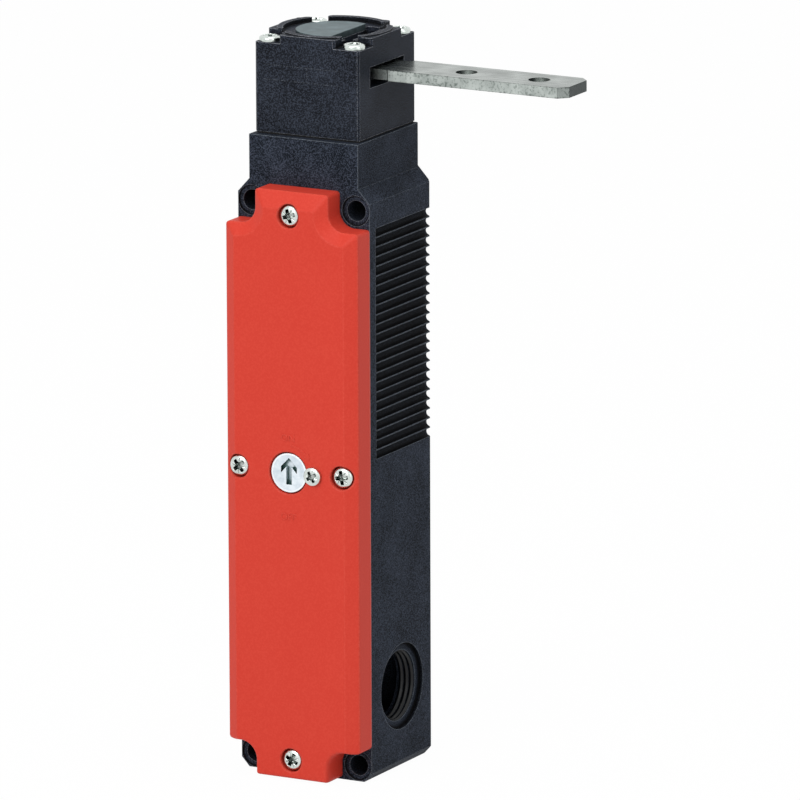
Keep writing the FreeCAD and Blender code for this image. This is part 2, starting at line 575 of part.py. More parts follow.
def build_head():
    """Actuating head: casing with its tongue slots, top insert, gasket and screws."""
    half = "head_width / 2"
    middle = "head_centre_depth"
    y_front, y_back = f"(-{middle} - {half})", f"(-{middle} + {half})"
    casing = Piece("head_casing")
    casing.pad("XY", HEAD_FOOT, "head_top", rectangle(f"-{half}", y_front, half, y_back))
    casing.pad("XY", "head_top - 1", "head_top + rim_height",
               circle("0", f"-{middle}", "rim_outer"))
    casing.pocket("XY", "head_top - recess_sink", "head_top + rim_height",
                  circle("0", f"-{middle}", "rim_inner"))
    inner = f"({half} - ledge_size)"
    casing.pocket("XY", "ledge_height", "head_top + rim_height",
                  rectangle(f"-{half}", y_front, f"-{inner}", f"{y_front} + ledge_size"),
                  rectangle(inner, y_front, half, f"{y_front} + ledge_size"),
                  rectangle(f"-{half}", f"{y_back} - ledge_size", f"-{inner}", y_back),
                  rectangle(inner, f"{y_back} - ledge_size", half, y_back))
    upright = lambda edge: (abs(edge.tangentAt(edge.FirstParameter).z) > 0.99
                            and edge.BoundBox.ZMin < size(HEAD_FOOT) + 0.01)
    casing.bevel("edge_break", upright)

    slot_low, slot_high = f"(-{middle} - slot_length / 2)", f"(-{middle} + slot_length / 2)"
    casing.pocket("XY", HEAD_FOOT, "chamber_top",
                  rectangle("chamber_left", slot_low, "chamber_right", slot_high))
    casing.pocket("YZ", "chamber_right - 1", half,
                  rectangle(slot_low, "side_slot_low", slot_high, "side_slot_high"))
    casing.pocket("XY", "chamber_top - 1", "head_top",
                  rectangle("top_slot_start", slot_low, "top_slot_start + top_slot_width",
                            slot_high))
    floor = "(head_top - recess_sink)"
    casing.pocket("XY", f"{floor} - insert_sink", floor,
                  insert_outline("insert_radius + fit_clearance", "top_slot_start"))
    seat = "(axle_radius + fit_clearance)"
    wall_front = f"({middle} + slot_length / 2)"
    wall_back = f"({middle} - slot_length / 2)"
    for start, end in ((wall_front, f"{wall_front} + axle_seat"),
                       (f"{wall_back} - axle_seat", wall_back)):
        casing.pocket("XZ", start, end, circle("wheel_offset", WHEEL_HEIGHT, seat))
        casing.pocket("XZ", start, end,
                      rectangle(f"wheel_offset - {seat}", HEAD_FOOT,
                                f"wheel_offset + {seat}", WHEEL_HEIGHT))
    casing.pocket("XY", HEAD_FOOT, "ledge_height",
                  *[circle(x, y, "screw_radius + screw_clearance")
                    for x, y in HEAD_SCREW_PLACES])

    insert = Piece("head_insert")
    insert.pad("XY", f"{floor} - insert_sink", f"{floor} + insert_proud",
               insert_outline("insert_radius", "top_slot_start - fit_clearance"))

    gasket = Piece("head_gasket")
    edge = "running_clearance * 4"
    gasket.pad("XY", "housing_height", HEAD_FOOT,
               rectangle(f"-{half} + {edge}", f"{y_front} + {edge}", f"{half} - {edge}",
                         f"{y_back} - {edge}"),
               rectangle("chamber_left", slot_low, "chamber_right", slot_high),
               *[circle(x, y, "screw_radius + running_clearance")
                 for x, y in HEAD_SCREW_PLACES])

    group("head_screws", [
        screw("head_screw", x, f"-({y})", "ledge_height", UPWARD, "screw_head_radius",
              "screw_head_height", "screw_radius",
              f"ledge_height - {HEAD_FOOT} + head_screw_grip")
        for x, y in HEAD_SCREW_PLACES])


def insert_outline(radius, straight):
    """Round plate cut off by a straight edge beside the top slot."""
    drop = f"(({radius}) * cos(asin(({straight}) / ({radius}))))"
    middle = "-head_centre_depth"
    return polygon((straight, f"{middle} - {drop}", f"({radius})", 1),
                   (straight, f"{middle} + {drop}"),
                   (f"-({radius})", middle, f"({radius})", 1))


# ------------------------------------------------------------------------------- tongue

def build_tongue():
    """Steel tongue: pierced nose in the head, and two fixing holes outside it."""
    middle = "-head_centre_depth"
    wide, narrow = "tongue_width / 2", "nose_width / 2"
    tongue = Piece("tongue")
    tongue.pad("XY", "tongue_low", "tongue_high", polygon(
        ("nose_tip", f"{middle} - {narrow} + nose_chamfer"),
        ("nose_tip + nose_chamfer", f"{middle} - {narrow}"),
        ("nose_end", f"{middle} - {narrow}"),
        ("nose_end + nose_blend", f"{middle} - {wide}"),
        ("tongue_tip - tip_chamfer", f"{middle} - {wide}"),
        ("tongue_tip", f"{middle} - {wide} + tip_chamfer"),
        ("tongue_tip", f"{middle} + {wide} - tip_chamfer"),
        ("tongue_tip - tip_chamfer", f"{middle} + {wide}"),
        ("nose_end + nose_blend", f"{middle} + {wide}"),
        ("nose_end", f"{middle} + {narrow}"),
        ("nose_tip + nose_chamfer", f"{middle} + {narrow}"),
        ("nose_tip", f"{middle} + {narrow} - nose_chamfer")))
    tongue.pocket("XY", "tongue_low", "tongue_high",
                  circle("tongue_hole_near", middle, "tongue_hole_radius"),
                  circle("tongue_hole_far", middle, "tongue_hole_radius"))
    nose = rectangle("nose_tip - 1", f"{middle} - {wide} - 1", "nose_end + nose_blend",
                     f"{middle} + {wide} + 1")
    tongue.pocket("XY", "tongue_low", "tongue_low + nose_coining", nose)
    tongue.pocket("XY", "tongue_high - nose_coining", "tongue_high", nose)
    centre = "(wheel_offset - pitch_radius * tooth_angle * pi / 180)"
    tongue.pocket("XY", "tongue_low", "tongue_high",
                  rectangle(f"{centre} - window_length / 2", f"{middle} - window_width / 2",
                            f"{centre} + window_length / 2", f"{middle} + window_width / 2"))


# -------------------------------------------------------------------- cam wheel and axle

def build_wheel():
    """Cam wheel: a toothed disc between a spiral cam and a locking lug, on one hub."""
    rim, hub = size("rim_radius"), size("hub_radius")
    low = size("cam_low_radius")
    turned = 2 * math.pi * size("cam_turn_share")
    per_radian = size("cam_rise_per_turn") / (2 * math.pi)
    front = -size("wheel_width") / 2
    disc = size("tooth_disc_width") / 2

    def at(radius, angle):
        """Point of the wheel at an angle from straight down, turning towards +X."""
        return Vector(radius * math.sin(angle), 0, -radius * math.cos(angle))

    def arc(radius, start, end):
        return Part.Arc(at(radius, start), at(radius, (start + end) / 2),
                        at(radius, end)).toShape()

    def slab(edges, y_start, y_end):
        """Solid between two depths of the wheel from the edges of its outline."""
        face = Part.Face(Part.Wire(Part.__sortEdges__(edges)))
        face.translate(Vector(0, y_start, 0))
        return face.extrude(Vector(0, y_end - y_start, 0))

    steps = 16
    spiral = Part.BSplineCurve()
    spiral.interpolate([at(low + per_radian * turned * step / steps, turned * step / steps)
                        for step in range(steps + 1)])
    high = low + per_radian * turned
    crest_end, drop_end = turned + 0.5, turned + 1.1
    cam = slab([spiral.toShape(), arc(high, turned, crest_end),
                Part.LineSegment(at(high, crest_end), at(low, drop_end)).toShape(),
                arc(low, drop_end, 2 * math.pi)], front, -disc)

    root, tip = size("tooth_root_half"), size("tooth_tip_half")
    reach = size("tooth_radius")
    corners = [Vector(-root, 0, 0), Vector(root, 0, 0), Vector(root, 0, rim),
               Vector(tip, 0, reach), Vector(-tip, 0, reach), Vector(-root, 0, rim)]
    tooth = Part.Face(Part.makePolygon(corners + corners[:1]))
    tooth.rotate(Vector(), Vector(0, 1, 0), -size("tooth_angle"))
    tooth.translate(Vector(0, -disc, 0))
    tooth = tooth.extrude(Vector(0, 2 * disc, 0))
    toothed = Part.makeCylinder(rim, 2 * disc, Vector(0, -disc, 0), Vector(0, 1, 0))

    side = size("bolt_radius + loose_clearance")
    first = math.asin(side / rim)
    last = math.radians(size("lug_angle"))
    lug = slab([Part.LineSegment(Vector(side, 0, 0), at(rim, first)).toShape(),
                arc(rim, first, last),
                Part.LineSegment(at(rim, last), Vector(side, 0, 0)).toShape()],
               disc, -front)

    wheel = cam.fuse([toothed, tooth, lug,
                      Part.makeCylinder(hub, -2 * front, Vector(0, front, 0), Vector(0, 1, 0))])
    bore = Part.makeCylinder(size("axle_radius + fit_clearance"), -2 * front,
                             Vector(0, front, 0), Vector(0, 1, 0))
    feature = document.addObject("Part::Feature", "cam_wheel")
    feature.Label = "cam_wheel"
    feature.Shape = wheel.cut(bore).removeSplitter()
    feature.setExpression(".Placement.Base.x", bound("wheel_offset"))
    feature.setExpression(".Placement.Base.y", bound("-head_centre_depth"))
    feature.setExpression(".Placement.Base.z", bound(f"{WHEEL_HEIGHT} - {PATTERN_HEIGHT}"))
    sub_parts.append(feature)

    axle = Piece("cam_axle")
    reach = "(slot_length / 2 + axle_seat - loose_clearance)"
    axle.pad("XZ", f"head_centre_depth - {reach}", f"head_centre_depth + {reach}",
             circle("wheel_offset", WHEEL_HEIGHT, "axle_radius"))


# ------------------------------------------------------------------- contacts and plunger

def build_contacts():
    """Contact block with its terminals, and the plunger that the cam wheel drives."""
    block = Piece("contact_block")
    block.pad("XZ", "block_back", "block_front",
              rectangle("-block_half", "block_low", "block_half", "block_top"))
    chamber_back = "(block_back + block_web)"
    block.pocket("XZ", chamber_back, "block_front",
                 rectangle("-chamber_half", "upper_chamber_low", "chamber_half",
                           "upper_chamber_high"),
                 rectangle("-chamber_half", "lower_chamber_low", "chamber_half",
                           "lower_chamber_high"))
    pocket = "(terminal_half_height + running_clearance * 2)"
    outer = "(terminal_outer + running_clearance * 2)"
    back = "(terminal_back - running_clearance * 2)"
    for side in ("-", ""):
        inner = "(chamber_half - 1)"
        low_x, high_x = (f"-{outer}", f"-{inner}") if side else (inner, outer)
        block.pocket("XZ", back, "block_front",
                     *[rectangle(low_x, f"{z} - {pocket}", high_x, f"{z} + {pocket}")
                       for z in TERMINAL_HEIGHTS])
    block.pocket("XY", "upper_chamber_high - 1", "block_top",
                 circle("wheel_offset", "-plunger_depth",
                        "plunger_radius + running_clearance"))
    block.pocket("XY", "spring_seat", "upper_chamber_low + 1",
                 circle("wheel_offset", "-plunger_depth", "spring_bore_radius"))
    gap = "loose_clearance"
    block.pocket("XZ", "block_back", f"{chamber_back} + 1", rectangle(
        f"wheel_offset - arm_half - {gap}", f"arm_low - {gap}",
        f"wheel_offset + arm_half + {gap}", f"arm_low + arm_height + bolt_travel + {gap}"))
    screws = [(x, z) for x in both("block_screw_offset")
              for z in ("block_screw_low", "block_screw_high")]
    block.pocket("XZ", "block_back", "block_front",
                 *[circle(x, z, "screw_radius + screw_clearance") for x, z in screws])
    block.pocket("XZ", "block_front - block_head_sink", "block_front",
                 *[circle(x, z, "block_head_radius + running_clearance") for x, z in screws])
    group("contact_block_screws", [
        screw("contact_block_screw", x, "block_front - block_head_sink", z, FORWARD,
              "block_head_radius", "screw_head_height",
              "screw_radius",
              "block_front - block_head_sink - block_back + block_screw_grip")
        for x, z in screws])

    terminals, screws = [], []
    for height in TERMINAL_HEIGHTS:
        for side in (-1, 1):
            terminals.append(terminal(side, height))
            screws.append(screw(
                "terminal_screw", f"{side} * (terminal_outer + terminal_inner) / 2",
                "terminal_front", height, FORWARD, "terminal_head_radius",
                "terminal_head_height", "terminal_screw_radius", "terminal_screw_grip"))
    group("contact_terminals", terminals)
    group("terminal_screws", screws)

    plunger = Piece("plunger")
    plunger.pad("XY", "plunger_foot", f"{PLUNGER_TOP} - plunger_radius / 2",
                circle("wheel_offset", "-plunger_depth", "plunger_radius"))
    plunger.loft("XY", f"{PLUNGER_TOP} - plunger_radius / 2", PLUNGER_TOP,
                 circle("wheel_offset", "-plunger_depth", "plunger_radius"),
                 circle("wheel_offset", "-plunger_depth", "plunger_radius / 2"))
    opening_face = "(opening_terminal - tab_half_thickness)"
    closing_face = ("(closing_terminal + tab_half_thickness + loose_clearance"
                    " + cam_rise_per_turn * cam_turn_share)")
    group("tongue_contact_bridges", [
        bridge("opening_bridge", "plunger_depth",
               f"{opening_face} - bridge_thickness", "plunger_radius + fit_clearance"),
        bridge("closing_bridge", "plunger_depth", closing_face,
               "plunger_radius + fit_clearance")])

    coil_spring("plunger_spring", "plunger_depth", "spring_seat", "plunger_foot",
                "plunger_spring_radius")


TERMINAL_HEIGHTS = ["opening_terminal", "closing_terminal", "released_terminal",
                    "locked_terminal"]


def terminal(side, height):
    """Brass terminal with the fixed contact tab that reaches into the chamber."""
    piece = Piece("terminal", counts=False)
    low_x, high_x = sorted((side * size("terminal_inner"), side * size("terminal_outer")))
    names = ("terminal_inner", "terminal_outer") if side > 0 else ("-terminal_outer",
                                                                   "-terminal_inner")
    piece.pad("XZ", "terminal_back", "terminal_front",
              rectangle(names[0], f"{height} - terminal_half_height",
                        names[1], f"{height} + terminal_half_height"))
    tab = ("tab_tip", "terminal_inner + 0.5") if side > 0 else ("-terminal_inner - 0.5",
                                                                "-tab_tip")
    piece.pad("XZ", "terminal_back", "tab_front",
              rectangle(tab[0], f"{height} - tab_half_thickness",
                        tab[1], f"{height} + tab_half_thickness"))
    piece.pocket("XZ", "terminal_front - terminal_screw_grip", "terminal_front",
                 circle(f"{side} * (terminal_outer + terminal_inner) / 2", height,
                        "terminal_screw_radius + screw_clearance"))
    return piece


def bridge(label, depth, low, hole=None):
    """Contact bridge, a thin bar that joins the two fixed contacts beside it."""
    piece = Piece(label, counts=False)
    outline = [rectangle("-bridge_half", f"-{depth} - bridge_depth / 2",
                         "bridge_half", f"-{depth} + bridge_depth / 2")]
    if hole:
        outline.append(circle("wheel_offset", f"-{depth}", hole))
    piece.pad("XY", low, f"{low} + bridge_thickness", *outline)
    return piece


def coil_spring(label, depth, low, high, radius):
    """Compression spring about an upright axis, as its outer sleeve."""
    spring = Piece(label)
    spring.pad("XY", low, high,
               circle("wheel_offset", f"-{depth}", radius),
               circle("wheel_offset", f"-{depth}", f"{radius} - spring_wire"))


# ----------------------------------------------------------------- solenoid and lock bolt

def build_lock():
    """Lock bolt, the solenoid that lifts it and the contact that it closes."""
    bolt = Piece("lock_bolt")
    back = "(bar_front - bar_thickness)"
    window_low = f"(release_height - {WINDOW_REACH} - bolt_travel)"
    window_high = f"(release_height + {WINDOW_REACH})"
    bolt.pad("XZ", back, "bar_front",
             rectangle("wheel_offset - bar_half", "foot_low",
                       "wheel_offset + bar_half", "bar_top"),
             rectangle(f"release_offset - {WINDOW_REACH}", window_low,
                       f"release_offset + {WINDOW_REACH}", window_high))
    bolt.pad("XZ", "bolt_depth - bolt_radius", f"{back} + 1",
             rectangle("wheel_offset - bar_half / 2", "bar_top - bar_head",
                       "wheel_offset + bar_half / 2", "bar_top"))
    bolt.pad("XY", "bar_top - 1", BOLT_TOP,
             circle("wheel_offset", "-bolt_depth", "bolt_radius"))
    bolt.pad("XZ", "bar_front - 1", "arm_reach",
             rectangle("wheel_offset - arm_half", "arm_low",
                       "wheel_offset + arm_half", "arm_low + arm_height"))
    bolt.pad("XZ", "bar_front - 1", "solenoid_depth + stem_radius + 1",
             rectangle("wheel_offset - stem_radius - 1", "foot_low",
                       "wheel_offset + stem_radius + 1", f"{window_low} - 0.2"))
    bolt.pocket("XY", "foot_low", "foot_low + stem_socket",
                circle("wheel_offset", "-solenoid_depth", "stem_radius + fit_clearance"))
    group("lock_contact_bridge", [
        bridge("lock_bridge", "(arm_reach - bridge_depth / 2)", "(arm_low + arm_height)")])

    centre = ("wheel_offset", "-solenoid_depth")
    armature = Piece("armature")
    armature.pad("XY", "armature_low", "armature_high", circle(*centre, "armature_radius"))
    armature.pad("XY", "armature_high - 1", "foot_low + stem_socket - fit_clearance",
                 circle(*centre, "stem_radius"))

    core = Piece("fixed_core")
    bobbin_low, bobbin_high = "(yoke_low + yoke_plate)", "(yoke_high - yoke_plate)"
    core.pad("XY", "core_low", bobbin_high, circle(*centre, "bobbin_bore - fit_clearance"),
             circle(*centre, "stem_radius + loose_clearance"))
    core.pocket("XY", "core_low", "core_spring_top", circle(*centre, "core_spring_bore"))
    coil_spring("armature_spring", "solenoid_depth", "armature_high", "core_spring_top",
                "armature_spring_radius")

    bobbin = Piece("solenoid_bobbin")
    bore = circle(*centre, "bobbin_bore")
    bobbin.pad("XY", bobbin_low, bobbin_high, circle(*centre, "bobbin_bore + bobbin_wall"), bore)
    bobbin.pad("XY", bobbin_low, f"{bobbin_low} + flange_thickness",
               circle(*centre, "flange_radius"), bore)
    bobbin.pad("XY", f"{bobbin_high} - flange_thickness", bobbin_high,
               circle(*centre, "flange_radius"), bore)
    coil = Piece("solenoid_coil")
    coil.pad("XY", f"{bobbin_low} + flange_thickness", f"{bobbin_high} - flange_thickness",
             circle(*centre, "coil_radius"),
             circle(*centre, "bobbin_bore + bobbin_wall + fit_clearance"))

    yoke = Piece("solenoid_yoke")
    left, right = "wheel_offset - yoke_half", "wheel_offset + yoke_half"
    front = "-yoke_front"
    yoke.pad("XY", "yoke_low", bobbin_low, rectangle(left, front, right, "-back_wall"))
    yoke.pad("XY", bobbin_high, "yoke_high", rectangle(left, front, right, "-back_wall"),
             circle(*centre, "stem_radius + loose_clearance"))
    yoke.pad("XY", "yoke_low", "yoke_high",
             rectangle(left, "-back_wall - yoke_back_plate", right, "-back_wall"))
    yoke.pocket("XZ", "back_wall", "back_wall + yoke_back_plate",
                *[circle(f"wheel_offset + {x}", "yoke_screw_height",
                         "yoke_screw_radius + screw_clearance")
                  for x in both("yoke_screw_offset")])
    group("solenoid_screws", [
        screw("solenoid_screw", f"wheel_offset + {x}", "back_wall + yoke_back_plate",
              "yoke_screw_height", FORWARD, "yoke_head_radius", "yoke_head_height",
              "yoke_screw_radius", "yoke_back_plate + yoke_screw_grip - fit_clearance")
        for x in both("yoke_screw_offset")])


# -------------------------------------------------------------------- auxiliary release

def build_release():
    """Auxiliary release: slotted disc, shaft and eccentric pin, with seal and clip."""
    release = Piece("release_disc")
    axis = ("release_offset", "release_height")
    release.pad("XZ", RELEASE_BACK, RELEASE_FRONT, circle(*axis, "release_radius"))
    release.pad("XZ", "release_shaft_end", f"{RELEASE_BACK} + 1",
                circle(*axis, "release_shaft_radius"))
    release.pad("XZ", "release_pin_end", "release_shaft_end + 1",
                circle("release_offset + release_pin_throw", "release_height",
                       "release_pin_radius"))
    tip = "(release_height + release_slot_length / 2)"
    release.pocket("XZ", f"{RELEASE_FRONT} - release_slot_depth", RELEASE_FRONT, polygon(
        ("release_offset - release_slot_half", "release_height - release_slot_length / 2"),
        ("release_offset + release_slot_half", "release_height - release_slot_length / 2"),
        ("release_offset + release_slot_half", f"{tip} - barb_drop / 2"),
        ("release_offset + barb_reach", f"{tip} - barb_drop"),
        ("release_offset + barb_reach", f"{tip} - barb_drop / 2"),
        ("release_offset", f"{tip} + release_slot_half"),
        ("release_offset - barb_reach", f"{tip} - barb_drop / 2"),
        ("release_offset - barb_reach", f"{tip} - barb_drop"),
        ("release_offset - release_slot_half", f"{tip} - barb_drop / 2")))
    seal_start = "(housing_depth + seal_groove_start)"
    clip_end = "(housing_depth + gasket_thickness - loose_clearance)"
    grooves = ((seal_start, f"{seal_start} + seal_width", "seal_groove_radius"),
               (f"{clip_end} - clip_width", clip_end, "clip_groove_radius"))
    for start, end, radius in grooves:
        release.pocket("XZ", start, end, circle(*axis, "release_shaft_radius + 1"),
                       circle(*axis, radius))

    seal = Piece("release_seal")
    seal.pad("XZ", f"{seal_start} + fit_clearance", f"{seal_start} + seal_width - fit_clearance",
             circle(*axis, "release_shaft_radius"),
             circle(*axis, "seal_groove_radius + fit_clearance"))
    clip = Piece("release_clip")
    clip.pad("XZ", f"{clip_end} - clip_width + fit_clearance", f"{clip_end} - fit_clearance",
             circle(*axis, "clip_radius"), circle(*axis, "clip_groove_radius + fit_clearance"))
    group("seal_screw", [
        screw("sealing_screw", "seal_screw_offset", COVER_FLAT, "release_height", FORWARD,
              "seal_head_radius", "seal_head_height", "seal_screw_radius",
              "seal_screw_grip - fit_clearance")])


# ------------------------------------------------------------------------ build and write

def write_parts():
    """Check every object of the document, then write each sub-part to its own file."""
    document.recompute()
    failed = [o.Label for o in document.Objects if {"Invalid", "Error"} & set(o.State)]
    if failed:
        raise RuntimeError(f"objects that failed: {failed}")
    for part in sub_parts:
        if part.Shape.isNull() or not part.Shape.isValid() or not part.Shape.Solids:
            raise RuntimeError(f"{part.Label} has no valid solid")
    os.makedirs("parts", exist_ok=True)
    for part in sub_parts:
        part.Shape.exportStep(f"parts/{part.Label}.step")
        print(f"{part.Label}: {len(part.Shape.Solids)} solids, {part.Shape.Volume:.0f} mm3")


build_housing()
build_cover()
build_head()
build_tongue()
build_wheel()
build_contacts()
build_lock()
build_release()
write_parts()
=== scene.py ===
"""Looks of the tongue interlock switch: finishes, fasteners, threads, springs and the studio."""

import logging
import math
from dataclasses import dataclass, replace
from enum import Enum
from typing import Any, Sequence, Union

import bpy
import numpy as np
from mathutils import Euler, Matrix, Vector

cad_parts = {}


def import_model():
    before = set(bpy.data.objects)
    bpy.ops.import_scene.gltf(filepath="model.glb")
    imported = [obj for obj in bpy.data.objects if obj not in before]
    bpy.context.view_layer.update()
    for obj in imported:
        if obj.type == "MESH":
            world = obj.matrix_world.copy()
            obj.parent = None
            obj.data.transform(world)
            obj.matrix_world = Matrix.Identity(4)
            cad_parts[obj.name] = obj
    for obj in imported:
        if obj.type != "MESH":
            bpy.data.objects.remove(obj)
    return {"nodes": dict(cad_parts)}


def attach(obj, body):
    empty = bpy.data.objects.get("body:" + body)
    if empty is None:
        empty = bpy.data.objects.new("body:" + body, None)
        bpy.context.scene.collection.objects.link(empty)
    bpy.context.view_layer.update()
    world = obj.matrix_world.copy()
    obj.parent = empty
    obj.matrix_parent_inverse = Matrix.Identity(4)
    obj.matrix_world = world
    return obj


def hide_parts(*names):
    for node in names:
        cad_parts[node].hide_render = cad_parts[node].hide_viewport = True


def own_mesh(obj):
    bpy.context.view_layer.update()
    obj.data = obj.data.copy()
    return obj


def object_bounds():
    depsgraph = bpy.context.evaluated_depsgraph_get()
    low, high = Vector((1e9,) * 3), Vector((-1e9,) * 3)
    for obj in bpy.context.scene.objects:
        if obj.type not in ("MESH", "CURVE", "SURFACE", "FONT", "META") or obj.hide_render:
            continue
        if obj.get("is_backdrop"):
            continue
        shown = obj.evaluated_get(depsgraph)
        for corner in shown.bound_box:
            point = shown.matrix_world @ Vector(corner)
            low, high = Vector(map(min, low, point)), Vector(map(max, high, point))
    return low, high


LOG = logging.getLogger("interlock_switch")
MM = 0.001
MOUNT_CENTRE = 76.6
# Places on the cover, in millimetres: depth of its flat front and of its screws' seats,
# then x and height of each thing that stands in it.
COVER_FLAT = 40.85
SCREW_SEAT = 38.2
COVER_SCREWS = ((0.0, 147.8), (0.0, 5.6), (-14.9, 81.4), (14.9, 81.4))
RELEASE = (-0.3, 81.1)
SEAL_SCREW = (7.0, 81.1)

Colour = tuple[float, float, float, float]


def row(x: Any, depth: Any, height: Any) -> np.ndarray:
    """Points of the part, in metres, from millimetres counted from its back face and foot."""
    return np.stack([x, -depth, height - MOUNT_CENTRE], axis=-1) * MM


def tint(red: int, green: int, blue: int) -> Colour:
    """Turn a display colour of 0 to 255 into the linear one that shaders take.

    Args:
        red: Red, 0 to 255.
        green: Green, 0 to 255.
        blue: Blue, 0 to 255.

    Returns:
        Linear red, green, blue and an alpha of 1.
    """
    part = np.array([red, green, blue]) / 255.0
    linear = np.where(part <= 0.04045, part / 12.92, ((part + 0.055) / 1.055) ** 2.4)
    return (*[float(value) for value in linear], 1.0)


def smooth_step(low: float, high: float, value: np.ndarray) -> np.ndarray:
    """Ease from 0 at low to 1 at high along the cubic 3t^2 - 2t^3."""
    share = np.clip((value - low) / (high - low), 0.0, 1.0)
    return share * share * (3.0 - 2.0 * share)


class Axis(Enum):
    """Which way a turned piece's own axis points on the part."""

    FORWARD = ((1, 0, 0), (0, 0, -1), (0, 1, 0))
    UPWARD = ((1, 0, 0), (0, 1, 0), (0, 0, 1))
    RIGHT = ((0, 0, 1), (1, 0, 0), (0, 1, 0))
    LEFT = ((0, 0, -1), (-1, 0, 0), (0, 1, 0))
    DOWNWARD = ((1, 0, 0), (0, -1, 0), (0, 0, -1))

    def turn(self, points: np.ndarray) -> np.ndarray:
        """Carry points from the piece's own axes, z along its axis, to the part's."""
        return points @ np.array(self.value, dtype=float).T


# ------------------------------------------------------------------------------ shaders

class Shade:
    """A shader socket whose arithmetic adds Math nodes to its tree."""

    def __init__(self, bench: "Bench", socket: bpy.types.NodeSocket) -> None:
        """Wrap one output socket of the bench's tree."""
        self.bench, self.socket = bench, socket

    def _math(self, operation: str, *values: "Number") -> "Shade":
        """Add a Math node on the values."""
        return self.bench.node("ShaderNodeMath", {"operation": operation},
                               dict(enumerate(values)))["Value"]

    def __add__(self, other: "Number") -> "Shade":
        """Sum."""
        return self._math("ADD", self, other)

    def __sub__(self, other: "Number") -> "Shade":
        """Difference."""
        return self._math("SUBTRACT", self, other)

    def __rsub__(self, other: "Number") -> "Shade":
        """Difference from a number."""
        return self._math("SUBTRACT", other, self)

    def __mul__(self, other: "Number") -> "Shade":
        """Product."""
        return self._math("MULTIPLY", self, other)

    def __pow__(self, other: "Number") -> "Shade":
        """Power."""
        return self._math("POWER", self, other)

    __radd__, __rmul__ = __add__, __mul__

    def sine(self) -> "Shade":
        """Sine of the value in radians."""
        return self._math("SINE", self)

    def size(self) -> "Shade":
        """Value without its sign."""
        return self._math("ABSOLUTE", self)

    def over(self, low: float, high: float) -> "Shade":
        """Ease the value from 0 at low to 1 at high."""
        return self.bench.node("ShaderNodeMapRange", {"interpolation_type": "SMOOTHSTEP"},
                               {"Value": self, "From Min": low, "From Max": high})["Result"]


Number = Union[float, Shade]


class Made:
    """A node that was added, with its outputs by name."""

    def __init__(self, bench: "Bench", node: bpy.types.Node) -> None:
        """Keep the bench and the node."""
        self.bench, self.node = bench, node

    def __getitem__(self, output: Union[str, int]) -> Shade:
        """Wrap one of the node's outputs."""
        return Shade(self.bench, self.node.outputs[output])


class Bench:
    """The node tree of one material while it is put together."""

    def __init__(self, tree: bpy.types.NodeTree) -> None:
        """Start from an empty tree."""
        self.tree = tree
        tree.nodes.clear()

    def node(self, kind: str, settings: dict[str, Any] | None = None,
             inputs: dict[Union[str, int], Any] | None = None) -> Made:
        """Add a node.

        Args:
            kind: Blender's type name of the node.
            settings: Properties set first, such as an operation.
            inputs: Values or shades for its input sockets, by name or place.

        Returns:
            The node, whose outputs are read by name.
        """
        node = self.tree.nodes.new(kind)
        for name, value in (settings or {}).items():
            setattr(node, name, value)
        for key, value in (inputs or {}).items():
            if isinstance(value, Shade):
                self.tree.links.new(value.socket, node.inputs[key])
            else:
                node.inputs[key].default_value = value
        return Made(self, node)

    def place(self) -> Shade:
        """Position on the piece in its own axes."""
        return self.node("ShaderNodeTexCoord")["Object"]

    def stretched(self, scale: Sequence[float]) -> Shade:
        """Position on the piece with each axis scaled, in cycles per metre."""
        return self.node("ShaderNodeMapping", None,
                         {"Vector": self.place(), "Scale": tuple(scale)})["Vector"]

    def noise(self, scale: Sequence[float], detail: float = 3.0,
              roughness: float = 0.55) -> Shade:
        """Cloudy noise of 0 to 1 whose cells are 1 / scale metres along each axis."""
        return self.node("ShaderNodeTexNoise", {"noise_dimensions": "3D"},
                         {"Vector": self.stretched(scale), "Scale": 1.0, "Detail": detail,
                          "Roughness": roughness})["Fac"]

    def blend(self, first: Any, second: Any, share: Number) -> Shade:
        """Mix two colours by a share of the second."""
        return self.node("ShaderNodeMix", {"data_type": "RGBA"},
                         {0: share, 6: first, 7: second})[2]

    def rounding(self, radius: float, span: tuple[float, float] = (0.01, 0.2)
                 ) -> tuple[Shade, Shade]:
        """Soften the edges of the piece.

        Args:
            radius: Edge radius in millimetres.
            span: Bends of the surface at which the mask starts and is full.

        Returns:
            The softened normal, and a mask that is 1 where an edge is rounded.
        """
        normal = self.node("ShaderNodeBevel", {"samples": 6}, {"Radius": radius * MM})["Normal"]
        flat = self.node("ShaderNodeNewGeometry")["True Normal"]
        match = self.node("ShaderNodeVectorMath", {"operation": "DOT_PRODUCT"},
                          {0: normal, 1: flat})["Value"]
        return normal, (1.0 - match).over(*span)

    def bump(self, height: Shade, depth: float, normal: Shade | None = None) -> Shade:
        """Raise the surface by height times depth, in millimetres, on top of a normal."""
        under = {} if normal is None else {"Normal": normal}
        return self.node("ShaderNodeBump", None,
                         {"Distance": depth * MM, "Height": height, **under})["Normal"]

    def hollow_shade_mask(self, reach: float, span: tuple[float, float] = (0.15, 0.95)) -> Shade:
        """Mask of recesses, into which shade is painted.

        Args:
            reach: How far walls are looked for, in millimetres.
            span: Shares of closed directions at which the mask starts and is full.

        Returns:
            1 deep in recesses, 0 in the open.
        """
        open_share = self.node("ShaderNodeAmbientOcclusion", {"samples": 8, "only_local": True},
                               {"Distance": reach * MM})["AO"]
        return (1.0 - open_share).over(*span)

    def skin(self, **inputs: Any) -> None:
        """Finish the tree with the surface shader."""
        named = {key.replace("_", " "): value for key, value in inputs.items()}
        shader = self.node("ShaderNodeBsdfPrincipled", None, named)["BSDF"]
        self.node("ShaderNodeOutputMaterial", None, {"Surface": shader})


